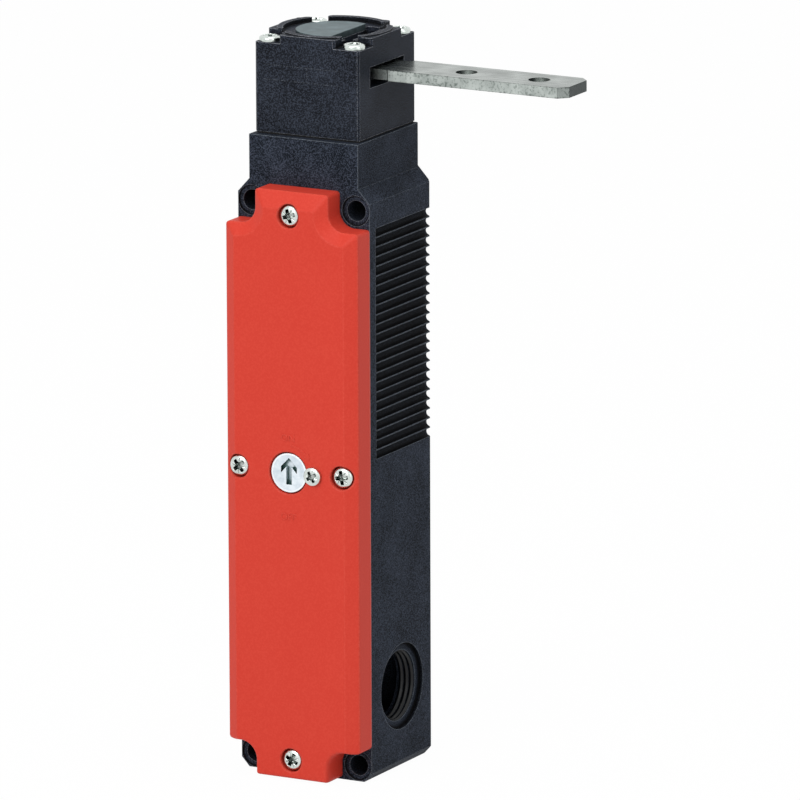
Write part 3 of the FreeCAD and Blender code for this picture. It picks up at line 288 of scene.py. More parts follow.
class Finish:
    """A finish that makes its material once and hands it out."""

    name: str

    def material(self) -> bpy.types.Material:
        """Return the finish's material, made when it is first asked for."""
        found = bpy.data.materials.get(self.name)
        if found is None:
            found = bpy.data.materials.new(self.name)
            found.use_nodes = True
            self.fill(Bench(found.node_tree))
        return found

    def fill(self, bench: Bench) -> None:
        """Build the finish's nodes."""
        raise NotImplementedError


@dataclass(frozen=True)
class Moulding(Finish):
    """Moulded plastic or rubber with a spark-eroded grain and softened edges.

    The colour drifts by a slow cloud and carries fine specks; edges are a little lighter
    and smoother, from the rub of hands and tools and as a painted highlight. Hollows are
    darkened towards the deep colour as painted shade.
    """

    name: str
    colour: Colour
    speck: Colour
    deep: Colour = (0.002, 0.002, 0.002, 1.0)
    speck_share: float = 0.5
    grain: float = 0.35
    grain_depth: float = 0.02
    roughness: float = 0.5
    edge: float = 0.3
    edge_span: tuple[float, float] = (0.01, 0.2)
    edge_wear_highlight_colour: Colour = (0.2, 0.2, 0.2, 1.0)
    edge_wear_highlight_share: float = 0.3
    gloss: float = 0.3
    hollow_reach: float = 2.5
    hollow_span: tuple[float, float] = (0.15, 0.95)
    hollow_shade_share: float = 0.75

    def fill(self, bench: Bench) -> None:
        """Cloud, specks, grain bump, edges lightened by wear and painted highlight, painted
        shade in hollows.
        """
        normal, edge = bench.rounding(self.edge, self.edge_span)
        cloud = bench.noise((90.0,) * 3, 4.0)
        grain = bench.noise((1 / (self.grain * MM),) * 3, 2.0)
        fine = bench.noise((2.7 / (self.grain * MM),) * 3, 1.0)
        specks = grain.over(0.42, 0.64) * 0.75 + cloud.over(0.3, 0.8) * 0.25
        # Painted shade: recesses are darkened towards the deep colour.
        hollow = bench.hollow_shade_mask(self.hollow_reach, self.hollow_span) * self.hollow_shade_share
        base = bench.blend(self.colour, self.speck, specks * self.speck_share)
        # Edges lightened towards the edge colour: wear and a painted highlight.
        wear_and_highlight = edge * (grain.over(0.35, 0.6) * 0.6 + 0.4) * self.edge_wear_highlight_share
        worn = bench.blend(base, self.edge_wear_highlight_colour, wear_and_highlight)
        bench.skin(
            Base_Color=bench.blend(worn, self.deep, hollow),
            Roughness=self.roughness + (grain - 0.5) * 0.12 - edge * 0.08,
            Specular_IOR_Level=self.gloss,
            Normal=bench.bump(grain + fine * 0.5, self.grain_depth, normal))


@dataclass(frozen=True)
class BrushedMetal(Finish):
    """Bare or plated metal with fine streaks along one axis and soft blotches."""

    name: str
    colour: Colour
    shadow: Colour
    deep: Colour = (0.02, 0.022, 0.022, 1.0)
    streak: tuple[float, float, float] = (1500.0, 1500.0, 1500.0)
    streak_depth: float = 0.004
    roughness: float = 0.3
    roughness_swing: float = 0.2
    edge: float = 0.2
    edge_highlight: float = 0.2
    hollow_reach: float = 0.9
    hollow_span: tuple[float, float] = (0.15, 0.95)
    hollow_shade_share: float = 0.8
    rim: tuple[float, float, float] | None = None

    def fill(self, bench: Bench) -> None:
        """Streaks, blotches, edges brightened as a painted highlight, painted shade in hollows.

        A finish with a rim, given as x, height and radius in millimetres, gets a painted
        highlight from that radius out, round an axis that runs front to back.
        """
        normal, edge = bench.rounding(self.edge)
        streaks = bench.noise(self.streak, 3.0, 0.6)
        blotch = bench.noise((260.0,) * 3, 3.0)
        worn = streaks.over(0.3, 0.75) * 0.5 + blotch.over(0.3, 0.75) * 0.5
        # Painted highlight: edges are lifted towards the bright colour, and so is the ring past
        # a rim's radius below.
        shine = worn * 0.6 + edge * self.edge_highlight + 0.3
        if self.rim is not None:
            x, height, radius = self.rim
            spot = bench.node("ShaderNodeSeparateXYZ", None, {0: bench.place()})
            across, up = spot["X"] - x * MM, spot["Z"] - (height - MOUNT_CENTRE) * MM
            away = (across ** 2.0 + up ** 2.0) ** 0.5
            shine = shine + away.over(radius * MM, (radius + 0.25) * MM) * 0.7
        open_colour = bench.blend(self.shadow, self.colour, shine)
        # Painted shade: recesses are darkened towards the deep colour.
        hollow = bench.hollow_shade_mask(self.hollow_reach, self.hollow_span) * self.hollow_shade_share
        bench.skin(
            Base_Color=bench.blend(open_colour, self.deep, hollow),
            Metallic=1.0,
            Roughness=self.roughness + (streaks - 0.5) * self.roughness_swing - edge * 0.06,
            Normal=bench.bump(streaks, self.streak_depth, normal))


@dataclass(frozen=True)
class StampedSteel(Finish):
    """Stamped sheet: rolled grain, pitted cut sides, darkened edges, painted shade on the top
    and the end.
    """

    name: str
    colour: Colour
    shadow: Colour
    edge_dark: Colour
    end_shade: Colour

    def fill(self, bench: Bench) -> None:
        """Rolled grain along the tongue, shear lines down its cut sides."""
        _, edge = bench.rounding(0.35, (0.0, 0.06))
        facing = bench.node("ShaderNodeSeparateXYZ", None,
                            {0: bench.node("ShaderNodeTexCoord")["Normal"]})
        cut = 1.0 - facing["Z"].size().over(0.4, 0.8)
        end = facing["X"].over(0.55, 0.9) * cut
        rolled = bench.noise((60.0, 900.0, 900.0), 3.0, 0.6)
        sheared = bench.noise((900.0, 900.0, 120.0), 3.0, 0.6)
        pits = bench.noise((1500.0,) * 3, 2.0).over(0.5, 0.68)
        haze = bench.noise((140.0,) * 3, 3.0)
        marks = rolled * (1.0 - cut) + (sheared * 0.6 + pits * 0.4) * cut
        # Painted shade: the top stays nearer the shadow colour while the cut sides are lifted
        # lighter.
        tone = (marks.over(0.2, 0.8) * 0.4 + haze.over(0.3, 0.7) * 0.3 + cut * 0.45
                - cut * pits * 0.7)
        metal = bench.blend(self.shadow, self.colour, tone)
        # Edges darkened towards the edge-dark colour.
        rim = edge * (pits * 0.5 + 0.5)
        worn = bench.blend(metal, self.edge_dark, rim)
        bench.skin(
            # Painted shade on the end face that points along x.
            Base_Color=bench.blend(worn, self.end_shade, end * 0.95),
            Metallic=1.0,
            Roughness=0.26 + (marks - 0.5) * 0.15 + edge * 0.2 + cut * 0.1,
            Normal=bench.bump(marks, 0.01))


@dataclass(frozen=True)
class Winding(Finish):
    """Enamelled wire wound in layers round an upright axis."""

    name: str
    colour: Colour
    groove_shade: Colour
    pitch: float = 0.35

    def fill(self, bench: Bench) -> None:
        """Round turns side by side, one every pitch."""
        normal, _ = bench.rounding(0.1)
        height = bench.node("ShaderNodeSeparateXYZ", None, {0: bench.place()})["Z"]
        wobble = bench.noise((180.0,) * 3, 2.0) * 0.6
        turns = ((height * (2 * math.pi / (self.pitch * MM)) + wobble).sine() + 1.0) * 0.5
        bench.skin(
            # Painted shade: darker between the turns, towards the groove shade colour.
            Base_Color=bench.blend(self.groove_shade, self.colour, turns),
            Metallic=0.6, Roughness=0.4 - turns * 0.1,
            Normal=bench.bump(turns, self.pitch * 0.3, normal))


# The deep colours and hollow shade shares paint shade into recesses; the edge colours paint
# highlights on edges as well as wear.
HOUSING_PLASTIC = Moulding("housing_moulding", tint(9, 13, 18), tint(80, 88, 104), grain=0.27,
                           speck_share=0.66, grain_depth=0.035, roughness=0.55,
                           edge=0.4, edge_span=(0.02, 0.16), edge_wear_highlight_colour=tint(128, 136, 144),
                           edge_wear_highlight_share=0.8, gloss=0.03,
                           hollow_reach=4.0, hollow_span=(0.12, 0.4), hollow_shade_share=0.97)
HEAD_PLASTIC = Moulding("head_moulding", tint(8, 10, 15), tint(72, 79, 93), grain=0.3,
                        speck_share=0.62, grain_depth=0.035, roughness=0.5,
                        edge_wear_highlight_colour=tint(180, 184, 192), edge_wear_highlight_share=0.9, gloss=0.06,
                        hollow_reach=4.0, hollow_span=(0.12, 0.5), hollow_shade_share=0.96)
# A darker copy of the housing's plastic: painted shade inside the cable entries.
THREAD_SHADED_PLASTIC = Moulding("thread_shaded_moulding", tint(4, 5, 7), tint(12, 14, 18), grain=0.4,
                          grain_depth=0.01, roughness=0.35, edge_wear_highlight_colour=tint(30, 33, 38),
                          edge_wear_highlight_share=0.5, gloss=0.3, hollow_shade_share=0.9)
WITNESS_PLASTIC = Moulding("witness_moulding", tint(14, 17, 22), tint(104, 110, 120),
                           grain=0.45, speck_share=0.8, edge=0.05, edge_wear_highlight_share=0.0, gloss=0.06)
COVER_PLASTIC = Moulding("cover_moulding", tint(198, 58, 44), tint(207, 71, 56),
                         deep=tint(60, 14, 10), grain=0.5,
                         speck_share=0.5, grain_depth=0.006, roughness=0.46, edge=0.9,
                         edge_span=(0.004, 0.09),
                         edge_wear_highlight_colour=tint(232, 104, 88), edge_wear_highlight_share=0.35, gloss=0.12,
                         hollow_shade_share=0.55)
MARK_PLASTIC = replace(COVER_PLASTIC, name="cover_mark_moulding", edge=0.1, edge_wear_highlight_share=0.6,
                       edge_wear_highlight_colour=tint(236, 112, 96), hollow_shade_share=0.0)
RUBBER = Moulding("gasket_rubber_skin", tint(18, 18, 19), tint(34, 34, 36), grain=0.2,
                  grain_depth=0.01, roughness=0.7, edge=0.15, gloss=0.25)
IVORY = Moulding("contact_moulding", tint(222, 216, 200), tint(206, 200, 182), grain=0.4,
                 grain_depth=0.01, edge_wear_highlight_colour=tint(238, 234, 222), gloss=0.4)
ACETAL = Moulding("plunger_moulding", tint(232, 231, 224), tint(220, 219, 210), grain=0.6,
                  grain_depth=0.004, roughness=0.3, edge_wear_highlight_colour=tint(244, 243, 238), gloss=0.5)
BOBBIN_PLASTIC = Moulding("bobbin_moulding", tint(30, 30, 31), tint(46, 46, 48), grain=0.3,
                          edge_wear_highlight_colour=tint(80, 80, 82), gloss=0.4)
ZINC = BrushedMetal("zinc_plating", tint(232, 236, 233), tint(176, 190, 182),
                    deep=tint(10, 30, 26), roughness=0.24, edge=0.1, roughness_swing=0.1,
                    hollow_reach=1.2, hollow_span=(0.1, 0.6), hollow_shade_share=0.97)
INSERT_METAL = BrushedMetal("insert_plate_skin", tint(116, 132, 136), tint(60, 74, 78),
                            streak=(700.0, 700.0, 700.0), streak_depth=0.03, roughness=0.5)
TONGUE_STEEL = StampedSteel("tongue_stamping", tint(206, 213, 209), tint(84, 94, 89),
                            tint(20, 25, 23), tint(52, 58, 58))
SINTERED = BrushedMetal("sintered_wheel_skin", tint(150, 148, 142), tint(96, 95, 92),
                        streak=(2200.0,) * 3, streak_depth=0.02, roughness=0.5)
GROUND_STEEL = BrushedMetal("ground_pin_skin", tint(205, 207, 206), tint(150, 152, 152),
                            streak=(3000.0, 60.0, 3000.0), roughness=0.25)
BOLT_STEEL = BrushedMetal("bolt_ground_skin", tint(200, 202, 203), tint(140, 143, 145),
                          streak=(2500.0, 2500.0, 80.0), roughness=0.28)
BRASS = BrushedMetal("terminal_brass_skin", tint(214, 186, 122), tint(164, 134, 76),
                     streak=(1800.0, 1800.0, 120.0), roughness=0.3)
SPRING_WIRE = BrushedMetal("spring_wire_skin", tint(190, 192, 194), tint(120, 122, 125),
                           streak=(2500.0,) * 3, roughness=0.3, edge=0.05)
SOFT_IRON = BrushedMetal("soft_iron_skin", tint(140, 143, 148), tint(98, 101, 106),
                         streak=(900.0,) * 3, streak_depth=0.01, roughness=0.45)
# The disc's bright ring past the rim radius and its brightened edges are painted highlight.
RELEASE_METAL = BrushedMetal("release_disc_skin", tint(240, 246, 250), tint(180, 196, 208),
                             deep=tint(62, 92, 88), streak=(900.0, 60.0, 900.0),
                             streak_depth=0.004, roughness=0.42, roughness_swing=0.12,
                             edge_highlight=0.6, hollow_reach=1.4, hollow_span=(0.1, 0.5),
                             hollow_shade_share=0.95, rim=(*RELEASE, 4.55))
COPPER = Winding("coil_winding", tint(196, 118, 76), tint(92, 44, 26))


# ------------------------------------------------------------------------------- meshes

def make_mesh(name: str, vertices: np.ndarray, faces: Sequence[np.ndarray],
              sharp: float = 35.0) -> bpy.types.Mesh:
    """Put arrays of points and faces into a mesh.

    Args:
        name: Name of the mesh.
        vertices: Points in metres, n by 3.
        faces: Blocks of faces with one number of corners each, n by 3 or n by 4.
        sharp: Angle in degrees above which an edge stays sharp.

    Returns:
        The mesh, smooth except at its sharp edges.
    """
    corners = np.concatenate([block.ravel() for block in faces]).astype(np.int32)
    counts = np.concatenate([np.full(len(block), block.shape[1]) for block in faces])
    starts = np.concatenate([[0], np.cumsum(counts)[:-1]]).astype(np.int32)
    mesh = bpy.data.meshes.new(name)
    mesh.vertices.add(len(vertices))
    mesh.vertices.foreach_set("co", np.ascontiguousarray(vertices, np.float32).ravel())
    mesh.loops.add(len(corners))
    mesh.loops.foreach_set("vertex_index", corners)
    mesh.polygons.add(len(counts))
    mesh.polygons.foreach_set("loop_start", starts)
    mesh.update(calc_edges=True)
    mesh.validate()
    mesh.shade_smooth()
    mesh.set_sharp_from_angle(angle=math.radians(sharp))
    return mesh


def skin_faces(rows: int, columns: int, first: int, ring: bool = False) -> np.ndarray:
    """Quads of a grid whose columns close on themselves.

    Args:
        rows: Number of rows of points.
        columns: Number of points in each row.
        first: Index of the grid's first point.
        ring: Whether the last row joins the first one too.

    Returns:
        Corner indices, n by 4, facing out where rows run down and columns turn left.
    """
    down = np.arange(rows if ring else rows - 1)[:, None]
    across = np.arange(columns)[None, :]
    below, beside = (down + 1) % rows, (across + 1) % columns
    quads = np.stack([down * columns + across, below * columns + across,
                      below * columns + beside, down * columns + beside], axis=-1)
    return quads.reshape(-1, 4) + first


def closed_skin(grid: np.ndarray, first_pole: np.ndarray,
                last_pole: np.ndarray) -> tuple[np.ndarray, list[np.ndarray]]:
    """Close a tube of points with a pole at each end.

    Args:
        grid: Points, rows by columns by 3.
        first_pole: Point that closes the first row.
        last_pole: Point that closes the last row.

    Returns:
        The points and the blocks of faces.
    """
    rows, columns = grid.shape[:2]
    count = rows * columns
    points = np.concatenate([grid.reshape(-1, 3), [first_pole, last_pole]])
    step = np.arange(columns)
    beside = (step + 1) % columns
    first = np.stack([np.full(columns, count), step, beside], axis=-1)
    last = np.stack([np.full(columns, count + 1), beside + count - columns,
                     step + count - columns], axis=-1)
    return points, [skin_faces(rows, columns, 0), first, last]


def joined(parts: Sequence[tuple[np.ndarray, list[np.ndarray]]]
           ) -> tuple[np.ndarray, list[np.ndarray]]:
    """Put several closed skins into one list of points and faces."""
    starts = np.cumsum([0] + [len(points) for points, _ in parts])
    blocks = [block + start for (_, faces), start in zip(parts, starts) for block in faces]
    return np.concatenate([points for points, _ in parts]), blocks


def add_piece(name: str, mesh: bpy.types.Mesh, finish: Finish, body: str,
              stands_for: Sequence[str] = ()) -> bpy.types.Object:
    """Add a piece that moves with a body.

    Args:
        name: Name of the piece.
        mesh: Its mesh, with its place in it.
        finish: What it is finished in.
        body: Body that it moves with.
        stands_for: Construction nodes that it is shown instead of.

    Returns:
        The piece's object.
    """
    mesh.materials.clear()
    mesh.materials.append(finish.material())
    piece = bpy.data.objects.new(name, mesh)
    bpy.context.scene.collection.objects.link(piece)
    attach(piece, body)
    if stands_for:
        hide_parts(*stands_for)
    LOG.info("piece %s: %d faces on %s", name, len(mesh.polygons), body)
    return piece


def dress(nodes: dict[str, bpy.types.Object], looks: dict[str, Finish]) -> None:
    """Give construction nodes their finishes.

    Args:
        nodes: Objects of the construction nodes by name.
        looks: Finish of each node by name.
    """
    for name, finish in looks.items():
        materials = nodes[name].data.materials
        materials.clear()
        materials.append(finish.material())
        LOG.info("node %s: %s", name, finish.name)


# ---------------------------------------------------------------------------- fasteners

@dataclass(frozen=True)
class ScrewPlace:
    """Where one screw sits: the middle of its seat and the turn of its recess."""

    x: float
    depth: float
    height: float
    spin: float


@dataclass
class CrossScrew:
    """Pan-head screw with a cross recess and a rolled thread, in millimetres."""

    head_radius: float
    head_height: float
    shank_radius: float
    shank_length: float
    pitch: float = 0.8
    recess_reach: float = 0.62
    recess_half_width: float = 0.17
    recess_depth: float = 0.72
    brim: float = 0.6
    crown_reach: float = 0.97
    crown_rows: int = 30
    root: float = 0.8
    neck: float = 0.3
    rows_per_turn: int = 6
    columns: int = 96

    def crown(self, radius: np.ndarray, angle: np.ndarray) -> np.ndarray:
        """Height of the head's crown with the cross pressed into it.

        The crown falls as H (b + (1 - b) sqrt(1 - (r/R)^3)), with b the brim's share of
        the height; the recess is a smooth mask of two crossed bars times a depth that
        grows towards the middle, with four short ticks between the arms.
        """
        share = np.clip(radius / self.head_radius, 0.0, 1.0)
        dome = self.head_height * (self.brim + (1.0 - self.brim)
                                   * np.sqrt(np.maximum(1.0 - share ** 3, 0.0)))
        across = np.abs(radius * np.cos(angle)) / self.head_radius
        along = np.abs(radius * np.sin(angle)) / self.head_radius
        wide, narrow = np.maximum(across, along), np.minimum(across, along)
        half = self.recess_half_width * (1.0 - 0.35 * wide)
        bars = smooth_step(half + 0.035, half - 0.035, narrow)
        reach = smooth_step(self.recess_reach + 0.04, self.recess_reach - 0.06, wide)
        core = smooth_step(0.36, 0.27, np.hypot(across, along))
        deep = np.maximum(bars * reach * (1.0 - 0.45 * wide), core)
        diagonal = np.abs(across - along) / math.sqrt(2.0)
        ticks = (smooth_step(0.05, 0.02, diagonal) * smooth_step(0.34, 0.4, share)
                 * smooth_step(0.74, 0.68, share))
        return dome - self.head_height * (self.recess_depth * deep + 0.07 * ticks)

    def skin(self, spot: ScrewPlace, axis: Axis) -> tuple[np.ndarray, list[np.ndarray]]:
        """Surface of one screw in its place.

        Rows run from the crown's middle over the head and down the shank, whose radius
        is the root plus the thread's height where z / pitch - angle / turn is whole.
        """
        angle = np.linspace(0.0, 2.0 * math.pi, self.columns, endpoint=False)[None, :]
        out = np.linspace(0.0, 1.0, self.crown_rows + 1)[1:, None]
        ring = self.head_radius * self.crown_reach * out ** 0.9
        crown_radius = np.broadcast_to(ring, (self.crown_rows, self.columns))
        crown_height = self.crown(crown_radius, angle)
        brim = self.brim * self.head_height
        side = np.array([[1.0, brim * 0.9], [1.0, brim * 0.5], [1.0, 0.06], [0.975, 0.0]])
        side_radius = np.repeat(side[:, :1] * self.head_radius, self.columns, axis=1)
        side_height = np.repeat(side[:, 1:], self.columns, axis=1)
        count = int(self.shank_length / self.pitch * self.rows_per_turn)
        down = np.linspace(0.0, self.shank_length, count)[:, None]
        phase = (down / self.pitch - angle / (2 * math.pi)) % 1.0
        rise = np.clip(1.35 - 3.4 * np.abs(phase - 0.5), 0.0, 1.0)
        run_in = smooth_step(0.6, 1.4, down) * smooth_step(0.0, 1.0, self.shank_length - down)
        root = self.shank_radius * self.root
        shank_radius = root + (self.shank_radius - root) * rise * run_in
        shank_radius = np.where(down < self.neck, root, shank_radius)
        shank_height = np.broadcast_to(-down, shank_radius.shape)
        radius = np.concatenate([crown_radius, side_radius, shank_radius])
        height = np.concatenate([crown_height, side_height, shank_height])
        turned = angle + spot.spin
        grid = np.stack([radius * np.cos(turned), radius * np.sin(turned), height], axis=-1)
        top = self.crown(np.zeros((1, 1)), np.zeros((1, 1)))[0, 0]
        points, faces = closed_skin(grid, np.array([0.0, 0.0, top]),
                                    np.array([0.0, 0.0, -self.shank_length]))
        points = axis.turn(points) * MM + row(spot.x, spot.depth, spot.height)
        return points, faces

    def build(self, name: str, spots: Sequence[ScrewPlace], axis: Axis) -> bpy.types.Mesh:
        """Mesh of a group of equal screws."""
        points, faces = joined([self.skin(spot, axis) for spot in spots])
        return make_mesh(name, points, faces)


@dataclass
class EntryThread:
    """Cut thread inside a cable entry: a sleeve with a helical ridge, in millimetres."""

    bore_radius: float = 9.25
    ridge: float = 0.5
    bedding: float = 0.12
    clear: float = 0.01
    pitch: float = 1.5
    fade_in: float = 0.9
    fade_out: float = 0.7
    rows_per_turn: int = 14
    columns: int = 144

    def skin(self, start: float, end: float, mouth: np.ndarray,
             axis: Axis) -> tuple[np.ndarray, list[np.ndarray]]:
        """Surface of one sleeve.

        Its inner wall stands at the bore's radius less the ridge where start / pitch
        minus angle / turn is whole, and fades out at both ends; its outer wall lies in
        the housing.

        Args:
            start: Distance of its outer end behind the mouth.
            end: Distance of its inner end behind the mouth.
            mouth: Middle of the entry's mouth in metres.
            axis: Which way the entry opens.

        Returns:
            The points and the blocks of faces.
        """
        angle = np.linspace(0.0, 2.0 * math.pi, self.columns, endpoint=False)[None, :]
        count = int((end - start) / self.pitch * self.rows_per_turn)
        along = np.linspace(start, end, count)[:, None]
        phase = (along / self.pitch - angle / (2 * math.pi)) % 1.0
        rise = np.clip(1.3 - 3.0 * np.abs(phase - 0.5), 0.0, 1.0)
        fade = (smooth_step(start, start + self.fade_in, along)
                * smooth_step(end, end - self.fade_out, along))
        inner = self.bore_radius + self.clear - self.ridge * rise * fade
        outer = np.full((2, self.columns), self.bore_radius + self.bedding)
        radius = np.concatenate([inner, outer])
        depth = np.concatenate([along, [[end], [start]]])
        grid = np.stack([radius * np.cos(angle), radius * np.sin(angle),
                         np.broadcast_to(-depth, radius.shape)], axis=-1)
        points = axis.turn(grid.reshape(-1, 3)) * MM + mouth
        faces = skin_faces(len(radius), self.columns, 0, ring=True)[:, ::-1]
        return points, [faces]


@dataclass
class HelicalSpring:
    """Compression spring wound from round wire with closed ends, in millimetres."""

    x: float
    depth: float
    low: float
    high: float
    radius: float
    turns: float
    wire: float = 0.5
    flat_turn: float = 0.9
    rows_per_turn: int = 28
    sides: int = 10

    def mesh(self, name: str) -> bpy.types.Mesh:
        """Carry a circle of the wire's radius along the helix.

        The height eases in and out so that the first and last turns lie flat; the circle
        stands across the path, on the radial direction and the one square to both.
        """
        share = np.linspace(0.0, 1.0, int(self.turns * self.rows_per_turn))
        angle = 2.0 * math.pi * self.turns * share
        half = self.wire / 2
        lead = self.flat_turn / self.turns
        rise = np.interp(share, [0.0, lead, 1.0 - lead, 1.0],
                         [0.0, 0.8 * self.wire, self.high - self.low - 1.8 * self.wire,
                          self.high - self.low - self.wire])
        path = np.stack([self.radius * np.cos(angle), self.radius * np.sin(angle),
                         self.low + half + rise], axis=-1)
        ahead = np.gradient(path, axis=0)
        ahead /= np.linalg.norm(ahead, axis=1, keepdims=True)
        outward = np.stack([np.cos(angle), np.sin(angle), np.zeros_like(angle)], axis=-1)
        across = np.cross(ahead, outward)
        around = np.linspace(0.0, 2.0 * math.pi, self.sides, endpoint=False)[None, :, None]
        grid = (path[:, None] + half * (np.cos(around) * outward[:, None]
                                        + np.sin(around) * across[:, None]))
        points, faces = closed_skin(grid, path[0], path[-1])
        middle = row(self.x, self.depth, 0.0)
        faces = [block[:, ::-1] for block in faces]
        return make_mesh(name, points * MM + middle, faces)


@dataclass
class CoverShell:
    """Moulded cover: bevelled round its top and sides, with rounded edges at its foot.

    Sizes are in millimetres: x across, depth from the housing's back, height from its foot.
    """

    back: float = 32.5
    rim: float = 38.8
    flat: float = COVER_FLAT
    half: float = 19.0
    tab: float = 10.5
    notch: float = 4.4
    upper_shoulder: float = 144.6
    upper_end: float = 153.85
    lower_shoulder: float = 8.9
    lower_end: float = 0.5
    side_bevel: float = 3.2
    end_bevel: float = 4.3
    foot_edge: float = 0.8
    corner: float = 0.9
    rows: int = 9
    front_wall: float = 2.1
    room_half: float = 12.4
    room_low: float = 12.0
    room_high: float = 140.5
    room_corner: float = 2.0
    gasket_margin: float = 1.0
    gasket_corner: float = 0.5
    gasket_seat: float = 0.8
    screw_hole: float = 1.55
    counterbore: float = 3.1
    shaft: float = 3.05
    pocket: float = 38.0
    pocket_radius: float = 5.2
    mouth_radius: float = 5.5
    mouth_depth: float = 1.3
    release_boss: float = 6.6
    seal_pilot: float = 1.3
    seal_boss: float = 2.8
    seal_foot: float = 36.05
    spare: float = 1.0

    def quarter(self, up: int, shoulder: float, end: float, side: float, inner: float,
                tip: float, corner: float) -> np.ndarray:
        """Outline from the end of a tab to the side of the cover.

        Args:
            up: 1 at the top of the cover, -1 at its foot.
            shoulder: Height of the shoulder beside the notch.
            end: Height of the tab's end.
            side: How far it lies inside the cover's side.
            inner: How far it lies inside the notch, the shoulder and the tab's side.
            tip: How far it lies inside the tab's end.
            corner: Radius of its two outward corners.

        Returns:
            Points as x and height, n by 2.
        """
        fall = np.linspace(math.pi / 2, 0.0, 7)
        bend = np.stack([np.cos(fall), up * np.sin(fall)], axis=-1) * corner
        tab_middle = np.array([self.tab - inner - corner, end - up * (tip + corner)])
        side_middle = np.array([self.half - side - corner, shoulder - up * (inner + corner)])
        sweep = math.pi + up * np.linspace(0.0, math.pi / 2, 31)
        hollow = np.stack([np.cos(sweep), np.sin(sweep)], axis=-1) * (self.notch + inner)
        notch_middle = np.array([self.tab + self.notch, shoulder + up * self.notch])
        return np.concatenate([tab_middle + bend, notch_middle + hollow, side_middle + bend])

    def ring(self, depth: float, side: float, inner: float, tip: float, foot: float,
             corner: float) -> np.ndarray:
        """Whole outline at one depth, clockwise from the front.

        Args:
            depth: Depth of its plane.
            side: How far it lies inside the cover's sides.
            inner: How far it lies inside the upper notches and shoulders.
            tip: How far it lies inside the upper tab's end.
            foot: How far it lies inside every edge of the foot.
            corner: Radius of its outward corners.

        Returns:
            Points as x, depth and height, n by 3.
        """
        top = self.quarter(1, self.upper_shoulder, self.upper_end, side, inner, tip, corner)
        low = self.quarter(-1, self.lower_shoulder, self.lower_end, side, foot, foot, corner)
        right = np.concatenate([top, low[::-1]])
        left = right[::-1] * np.array([-1.0, 1.0])
        flat = np.concatenate([right, left])
        return np.insert(flat, 1, depth, axis=1)

    def body(self) -> tuple[np.ndarray, list[np.ndarray]]:
        """Outside of the cover, closed front and back.

        Between rim and front a row lies at the share sin(t) of the bevel's depth. There
        the bevel has come in by the same share of its width, and the rounded foot by
        1 - cos(t).
        """
        turn = np.linspace(0.0, math.pi / 2, self.rows)
        rise, ease = np.sin(turn), 1.0 - np.cos(turn)
        rings = [self.ring(self.back, 0.0, 0.0, 0.0, 0.0, self.corner)]
        rings += [self.ring(self.rim + (self.flat - self.rim) * up, self.side_bevel * up,
                            self.side_bevel * up, self.end_bevel * up, self.foot_edge * soft,
                            self.corner * (1.0 - 0.8 * soft))
                  for up, soft in zip(rise, ease)]
        return self.prism(np.array(rings))

    @staticmethod
    def prism(rings: np.ndarray) -> tuple[np.ndarray, list[np.ndarray]]:
        """Close a stack of rings, back to front, with a flat face at each end."""
        rows, columns = rings.shape[:2]
        back = np.arange(columns)[None, :]
        front = back[:, ::-1] + (rows - 1) * columns
        return rings.reshape(-1, 3), [skin_faces(rows, columns, 0), back, front]

    @staticmethod
    def turned(x: float, height: float, profile: Sequence[tuple[float, float]],
               columns: int = 64) -> tuple[np.ndarray, list[np.ndarray]]:
        """Turned solid round a line that runs front to back.

        Args:
            x: Where its axis lies across.
            height: Height of its axis.
            profile: Radius and depth of each ring, back to front.
            columns: Number of points in each ring.

        Returns:
            The points and the blocks of faces.
        """
        angle = np.linspace(0.0, -2.0 * math.pi, columns, endpoint=False)[None, :]
        radius, depth = np.array(profile).T[:, :, None]
        across = x + radius * np.cos(angle)
        grid = np.stack([across, np.broadcast_to(depth, across.shape),
                         height + radius * np.sin(angle)], axis=-1)
        return CoverShell.prism(grid)

    @staticmethod
    def solid(name: str, parts: Sequence[tuple[np.ndarray, list[np.ndarray]]]
              ) -> bpy.types.Object:
        """Object made of closed skins, with its place in its mesh."""
        points, faces = joined(parts)
        placed = row(*points.T)
        maker = bpy.data.objects.new(name, make_mesh(name, placed, faces, sharp=0.0))
        bpy.context.scene.collection.objects.link(maker)
        return maker

    def mesh(self, name: str) -> bpy.types.Mesh:
        """Body less cavity, gasket seat and holes, with the bosses of the release.

        Every cut runs past the body by the spare length, so that no two faces coincide.
        """
        behind, before = self.back - self.spare, self.flat + self.spare
        inside = self.flat - self.front_wall
        span = np.linspace(0.0, math.pi / 2, 9)
        reach = np.array([self.room_half, (self.room_high - self.room_low) / 2])
        bend = (np.stack([np.cos(span), np.sin(span)], axis=-1) * self.room_corner
                + reach - self.room_corner)
        turns = [bend[::-1], bend * [1, -1], (bend * [-1, -1])[::-1], bend * [-1, 1]]
        room = np.concatenate(turns) + [0.0, (self.room_low + self.room_high) / 2]
        cavity = [np.insert(room, 1, depth, axis=1) for depth in (behind, inside)]
        seat = [self.ring(depth, *[self.gasket_margin] * 4, self.gasket_corner)
                for depth in (behind, self.back + self.gasket_seat)]
        screw = [(self.screw_hole, behind), (self.screw_hole, SCREW_SEAT),
                 (self.counterbore, SCREW_SEAT), (self.counterbore, before)]
        disc = [(self.shaft, behind), (self.shaft, self.pocket),
                (self.pocket_radius, self.pocket),
                (self.pocket_radius, self.flat - self.mouth_depth),
                (self.mouth_radius, self.flat - self.mouth_depth),
                (self.mouth_radius, before)]
        pilot = [(self.seal_pilot, self.seal_foot), (self.seal_pilot, before)]
        bosses = [(*RELEASE, self.release_boss, self.back + self.gasket_seat),
                  (*SEAL_SCREW, self.seal_boss, self.seal_foot)]
        holes = [self.turned(*place, screw) for place in COVER_SCREWS]
